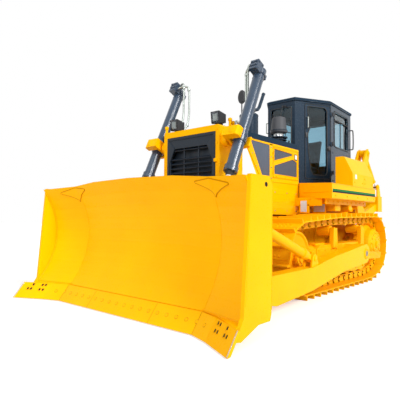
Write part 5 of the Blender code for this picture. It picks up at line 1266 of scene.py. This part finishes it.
@one("black")
def front_wiper(bm):
    """Front wiper's arm, blade and pivots."""
    tube(bm, [front_spot(0.05, 3.50, 0.02), front_spot(-0.06, 3.08, 0.02)], 0.007, 8)
    tube(bm, [front_spot(-0.075, 3.30, 0.012), front_spot(-0.045, 2.86, 0.012)], 0.008, 8)
    turned(bm, front_spot(0.05, 3.50), -Y, [(0, 0.024), (0.03, 0.022)], 14)
    turned(bm, front_spot(0.10, 3.50, -0.002), -Y, [(0, 0.02), (0.02, 0.018)], 14)


@pair("slate")
def cab_louvres(bm):
    """Louvres low on the cab's side, and bolts of its walls."""
    for k in range(5):
        z = 2.20 + k * 0.05
        wall_plate(bm, side_spot, (0.30, 0.62), (z, z + 0.03), 0.010, 0.004)
    for spot, places, size in ((side_spot, product((0.10, 0.75, 1.12), (2.02, 2.60)), 0.009),
                               (door_spot, product((0.05, 0.19), (2.10, 3.55)), 0.008)):
        for a, z in places:
            bolt(bm, spot(a, z), spot(a, z, 1.0) - spot(a, z), size)


@pair("rubber", smooth=60.0)
def cab_skirt(bm):
    """Rubber strip between the cab and the platform."""
    tube(bm, [spot(a, 1.925, 0.004) for spot, a in ((door_spot, 0.02), (door_spot, 0.84), (side_spot, 0.02),
                                                    (side_spot, 1.18))], 0.010, 8)


# Seat and controls
CELLS, LAYERS = 12, 4
CROWN, DRAWN = 0.30, 0.05


def cushion(bm, corner, across, along, up):
    """Crowned closed pad between a low corner and three edge vectors, its sides drawn in."""
    def spot(i, j, k):
        u, v, w = i / CELLS, j / CELLS, k / LAYERS
        bulge = (1 - (2 * u - 1) ** 4) * (1 - (2 * v - 1) ** 4)
        soft = 0.06 * abs(2 * w - 1) ** 3
        wide = 0.5 + (u - 0.5) * (1 - DRAWN * (1 - abs(2 * v - 1) ** 3) - soft)
        deep = 0.5 + (v - 0.5) * (1 - DRAWN * (1 - abs(2 * u - 1) ** 3) - soft)
        channel = 0.10 * sum(math.exp(-((u - line) / 0.02) ** 2) for line in (0.30, 0.70))
        high = w + (CROWN * bulge - channel * CROWN * 2.5) * (2 * w - 1) if w > 0.5 else w
        return corner + across * wide + along * deep + up * high
    verts = {}
    for i, j, k in product(range(CELLS + 1), range(CELLS + 1), range(LAYERS + 1)):
        if i in (0, CELLS) or j in (0, CELLS) or k in (0, LAYERS):
            verts[i, j, k] = bm.verts.new(spot(i, j, k))
    for a, b in product(range(CELLS), range(CELLS)):
        for k in (0, LAYERS):
            bm.faces.new([verts[a + i, b + j, k] for i, j in ((0, 0), (1, 0), (1, 1), (0, 1))])
    for a, k, side in product(range(CELLS), range(LAYERS), (0, CELLS)):
        bm.faces.new([verts[side, a + i, k + j] for i, j in ((0, 0), (1, 0), (1, 1), (0, 1))])
        bm.faces.new([verts[a + i, side, k + j] for i, j in ((0, 0), (1, 0), (1, 1), (0, 1))])


@one("seat", smooth=70.0, node="operator_seat")
def seat_cushion(bm):
    cushion(bm, at(-0.245, 5.12, 2.235), X * 0.49, Vector((0, 0.50, -0.03)), Vector((0, 0.01, 0.13)))


@one("seat", smooth=70.0, node="operator_seat")
def seat_back(bm):
    cushion(bm, at(-0.235, 5.70, 2.33), X * 0.47, Vector((0, 0.14, 0.62)), Vector((0, -0.11, 0.025)))


@one("black", node="operator_seat")
def seat_base(bm):
    """Suspension box with bellows ribs, and the back's frame."""
    block(bm, (-0.18, 0.18), (5.25, 5.60), (1.966, 2.02), 0.008)
    for k in range(6):
        z = 2.02 + k * 0.032
        block(bm, (-0.16, 0.16), (5.27, 5.58), (z, z + 0.026), 0.010)
    block(bm, (-0.20, 0.20), (5.20, 5.62), (2.212, 2.236), 0.006)
    sheet(bm, -0.20, ((5.60, 2.24), (5.70, 2.30), (5.845, 2.94), (5.81, 2.94), (5.685, 2.36), (5.60, 2.27)),
          0.40, 0.006)


@one("black")
def seat_armrests(bm):
    for x in (-0.225, 0.185):
        block(bm, (x, x + 0.04), (5.40, 5.66), (2.47, 2.50), 0.008)
        block(bm, (x + 0.01, x + 0.03), (5.62, 5.66), (2.30, 2.48))


@one("black")
def console_trim(bm):
    """Gauge cluster bezel, levers with knobs."""
    slab(bm, (-0.17, 0.17), (4.760, 2.545), (4.846, 2.655), (0, 0.006, -0.004), 0.003)
    for x in (-0.10, 0.0, 0.10):
        tube(bm, spots((x, 4.72, 2.72), (x, 4.75, 2.82)), 0.007, 8)
        turned(bm, at(x, 4.75, 2.815), (0, 0.25, 1), [(0, 0.012), (0.01, 0.02), (0.035, 0.02), (0.045, 0.010)], 14)
    for x in (-0.22, 0.22):
        pipe(bm, spots((x, 5.02, 1.97), (x, 5.04, 2.30), (x, 5.10, 2.52)), 0.012, 5, 8)
        turned(bm, at(x, 5.10, 2.51), (0, 0.3, 1), [(0, 0.016), (0.02, 0.026), (0.06, 0.026), (0.075, 0.014)], 16)


@one("screen")
def console_screen(bm):
    slab(bm, (-0.13, 0.13), (4.782, 2.562), (4.842, 2.639), (0, 0.008, -0.006), 0.002)


@one("rubber")
def cab_floor_mat(bm):
    block(bm, (-0.40, 0.40), (4.80, 6.10), (1.963, 1.972))


@one("rod")
def mirror_face(bm):
    """Mirror glass on the housing's rear face."""
    middle = at(-0.25, 3.455, 3.527)
    turns = [2 * math.pi * i / 28 for i in range(28)]
    loft(bm, [[middle + Vector((0.067 * math.cos(turn), back, 0.103 * math.sin(turn))) for turn in turns]
              for back in (-0.003, 0.0012)])


# Platform, tanks and rear
PLATFORM_X = 1.3505
STRIPE_ST = (3.83, 5.885)


@pair("green")
def green_stripe(bm):
    block(bm, (PLATFORM_X, PLATFORM_X + 0.0012), STRIPE_ST, (1.722, 1.756), 0.0)


@pair("ink")
def black_stripe(bm):
    block(bm, (PLATFORM_X, PLATFORM_X + 0.0012), STRIPE_ST, (1.694, 1.722), 0.0)


@pair("yellow")
def platform_trim(bm):
    """Folded lips, bolts and the front edge's strip on the platform."""
    for rear, z in ((5.86, 1.845), (5.83, 1.597)):
        tube(bm, spots((1.352, 3.81, z), (1.352, rear, z)), 0.006, 8)
    bolts(bm, (1.351,), (3.95, 4.45, 4.95, 5.45, 5.80), (1.645,), X, 0.010)
    for x, st in ((0.68, 4.044), (0.95, 3.947), (1.25, 3.839)):
        bolt(bm, at(x, st, 1.80), Vector((-0.34, -0.94, 0)), 0.010)
    prism(bm, spots((0.70, 4.02, 1.712), (1.30, 3.808, 1.70), (1.30, 3.822, 1.70), (0.70, 4.05, 1.712)),
          Z * 0.012, 0.002)


@pair("yellow")
def platform_studs(bm):
    """Studded walkway in front of the side tank."""
    for i, k in product(range(9), range(5)):
        x = 0.78 + k * 0.12 + i % 2 * 0.06
        if x < 1.30:
            z = 1.898 - 0.046 * (x - 0.60) / 0.75
            turned(bm, at(x, 4.06 + i * 0.065, z), Z, [(0, 0.016), (0.007, 0.013)], 10)


@pair("yellow")
def platform_brackets(bm):
    """Brackets and ribs between the platform and the track, with their bolts."""
    for st in (3.95, 4.35, 4.75, 5.15, 5.55):
        block(bm, (0.56, 1.10), (st, st + 0.022), (1.47, 1.62))
        bolts(bm, (0.64, 0.88, 1.04), (st - 0.001,), (1.595,), -Y, 0.010)
    block(bm, (0.66, 0.86), (3.950, 3.965), (1.345, 1.50))
    block(bm, (0.73, 0.99), (4.346, 4.361), (1.350, 1.50))
    block(bm, (1.16, 1.185), (3.93, 5.80), (1.50, 1.60))
    bolts(bm, (1.186,), [4.02 + k * 0.21 for k in range(9)], (1.55,), X, 0.011)
    block(bm, (0.90, 1.14), (4.42, 4.66), (1.38, 1.52), 0.02)
    turned(bm, at(0.98, 5.00, 1.46), X, [(0, 0.075), (0.20, 0.075), (0.21, 0.06)])


@pair("yellow")
def case_ribs(bm):
    """Ribs, cover and bolts on the main case's side, seen over the track."""
    x = 0.501
    for st in (2.35, 2.90, 3.45, 4.30, 4.85):
        block(bm, (x - 0.006, x + 0.03), (st, st + 0.03), (0.55, 1.27), 0.005)
    bolts(bm, (x,), (2.50, 2.70, 3.05, 3.25, 4.02, 4.16, 4.45, 4.65), (1.22, 0.98), X, 0.014)
    turned(bm, at(x, 5.45, 1.02), X, [(-0.01, 0.20), (0.03, 0.20), (0.045, 0.17)], 32)
    bolt_ring(bm, at(x + 0.032, 5.45, 1.02), X, 0.185, 12, 0.011)


@pair("yellow", smooth=60.0)
def case_lines(bm):
    """Hydraulic lines along the case."""
    for z in (1.34, 1.40):
        pipe(bm, spots((0.53, 3.90, z - 0.16), (0.58, 4.02, z - 0.04), (0.60, 4.22, z), (0.60, 5.2, z),
                       (0.60, 6.1, z + 0.02), (0.57, 6.45, z + 0.06)), 0.018, 8)


@pair("yellow")
def tank_trim(bm):
    """Seam, folded edges, bolts and latch of the side tank."""
    block(bm, (1.3495, 1.3515), (5.26, 5.266), (1.87, 2.07), 0.0)
    for st in (4.716, 5.774):
        tube(bm, spots((1.346, st, 1.862), (1.346, st, 2.088), (1.198, st, 2.398), (1.03, st, 2.415)), 0.005, 8)
    bolts(bm, (1.350,), (4.80, 5.20, 5.32, 5.70), (1.93,), X, 0.009)
    block(bm, (1.345, 1.358), (5.30, 5.38), (2.00, 2.035), 0.003)


@pair("white")
def tank_plate(bm):
    """Small blank plate on the tank's side."""
    block(bm, (1.3495, 1.3525), (4.83, 4.91), (1.99, 2.075), 0.001)


@pair("plate")
def bracket_plates(bm):
    """Blank pale plates under the platform, tinted blue to offset the orange bounced light in the shade there."""
    block(bm, (0.69, 0.81), (3.9465, 3.9505), (1.364, 1.562), 0.001)
    block(bm, (0.75, 0.97), (4.3425, 4.3465), (1.371, 1.508), 0.001)


RIPPER_EYE = (7.13, 2.80)
RIPPER_PIN = (7.88, 2.03)
RIPPER_HINGE = (6.80, 1.26)
BRACE_TOP = (1.09, 1.24)
BRACE_FOOT = (2.72, 0.665)


@pair("yellow")
def ripper_eye_caps(bm):
    """Round bosses, pin bolts and keeper bolts on the ripper's brackets."""
    for x, side in ((0.545, -1), (0.775, 1)):
        out = X * side
        turned(bm, at(x, *RIPPER_EYE), out, [(-0.004, 0.070), (0.012, 0.070), (0.018, 0.060)])
        bolt(bm, at(x + side * 0.016, *RIPPER_EYE), out, 0.020)
        turned(bm, at(x, *RIPPER_HINGE), out, [(-0.004, 0.080), (0.012, 0.080), (0.018, 0.066)])
        bolt_ring(bm, at(x + side * 0.012, *RIPPER_HINGE), out, 0.058, 4, 0.009)
    for z in (1.75, 2.05, 2.35):
        bolt(bm, at(0.776, 6.74 + (z - 1.75) * 0.32, z), X, 0.013)


@one("yellow")
def rear_cover(bm):
    """Cover plates and bolts on the rear of the case."""
    block(bm, (-0.40, 0.40), (6.618, 6.636), (0.80, 1.22), 0.006)
    bolts(bm, (-0.34, -0.11, 0.11, 0.34), (6.636,), (0.86, 1.16), Y, 0.013)
    block(bm, (-0.10, 0.10), (6.62, 6.70), (0.90, 1.05), 0.015)


@one("yellow", "ripper")
def ripper_fittings(bm):
    """Pin heads, beam plates, shank pins and weld beads on the ripper."""
    for side in (-1, 1):
        for way in (-1, 1):
            turned(bm, at(side * 0.66 + way * 0.102, *RIPPER_PIN), X * way,
                   [(-0.004, 0.045), (0.010, 0.045), (0.015, 0.036)], 18)
        block(bm, (side * 0.40 - 0.10, side * 0.40 + 0.10), (7.80, 8.04), (1.795, 1.812))
    for z in (1.50, 1.72):
        turned(bm, at(-0.15, 8.15, z), X, [(0, 0.026), (0.30, 0.026)], 16)
    for x in (-0.13, 0.13):
        tube(bm, spots((x, 8.065, 1.37), (x, 8.065, 1.85)), 0.008, 8)


@one("steel", "ripper")
def shank_shield(bm):
    """Bolted wear shield at the shank's lower end."""
    for side in (-1, 1):
        sheet(bm, side * 0.0505, ((7.845, 0.428), (7.985, 0.74), (8.04, 0.70), (8.02, 0.60), (7.93, 0.50)),
              side * 0.012, 0.003)
        bolt(bm, at(side * 0.0625, 7.98, 0.64), X * side, 0.012)


def line_of(x, first, last):
    """Start, direction and length of the line between two (st, z) at x."""
    start = at(x, *first)
    gap = at(x, *last) - start
    return start, gap.normalized(), gap.length


def twin_lines(bm, start, run, half, high, radius, stations):
    """Two steel lines over a cylinder; stations give distance along it and share of the height."""
    up = Vector((0, -run.z, run.y))
    up *= math.copysign(1, up.z)
    for x in (-half, half):
        shift = X * x + up * high
        pipe(bm, [start + run * along + shift * share for along, share in stations], radius)


@pair("zinc", "ripper_barrel_", 60.0)
def ripper_lines(bm):
    start, run, _ = line_of(0.66, RIPPER_EYE, RIPPER_PIN)
    twin_lines(bm, start, run, 0.028, 0.088, 0.011, ((0.10, 0.75), (0.15, 1), (0.5, 1), (0.80, 1), (0.85, 0.7)))


@pair("yellow", "ripper_barrel_")
def ripper_glands(bm):
    start, run, length = line_of(0.66, RIPPER_EYE, RIPPER_PIN)
    for along, radius in ((length - 0.20, 0.074), (0.12, 0.072)):
        collar(bm, start + run * along, run, radius, 0.03, 28)


@one("zinc", "blade_frame", 60.0)
def tilt_lines(bm):
    """Steel lines and clamps on the right-hand tilt cylinder."""
    top, run, _ = line_of(-1.5, BRACE_TOP, BRACE_FOOT)
    twin_lines(bm, top, run, 0.03, 0.115, 0.012, ((0.30, 0.8), (0.36, 1), (0.7, 1), (0.98, 1), (1.02, 0.75)))
    for along in (0.26, 1.02):
        collar(bm, top + run * along, run, 0.103, 0.03, 32, 0.005)
    turned(bm, top + run * 1.05, run, [(-0.002, 0.075), (0.03, 0.075), (0.036, 0.06)])


@one("yellow", "blade_frame")
def brace_collars(bm):
    """Adjusting collars on the left-hand brace."""
    top, run, _ = line_of(1.5, BRACE_TOP, BRACE_FOOT)
    for along in (0.13, 1.42):
        collar(bm, top + run * along, run, 0.082, 0.056, 24, 0.008, 0.006)


make_camera()
make_stage()
bpy.context.scene.view_settings.view_transform = "Standard"
dress_nodes()
for piece in PIECES:
    build(*piece)
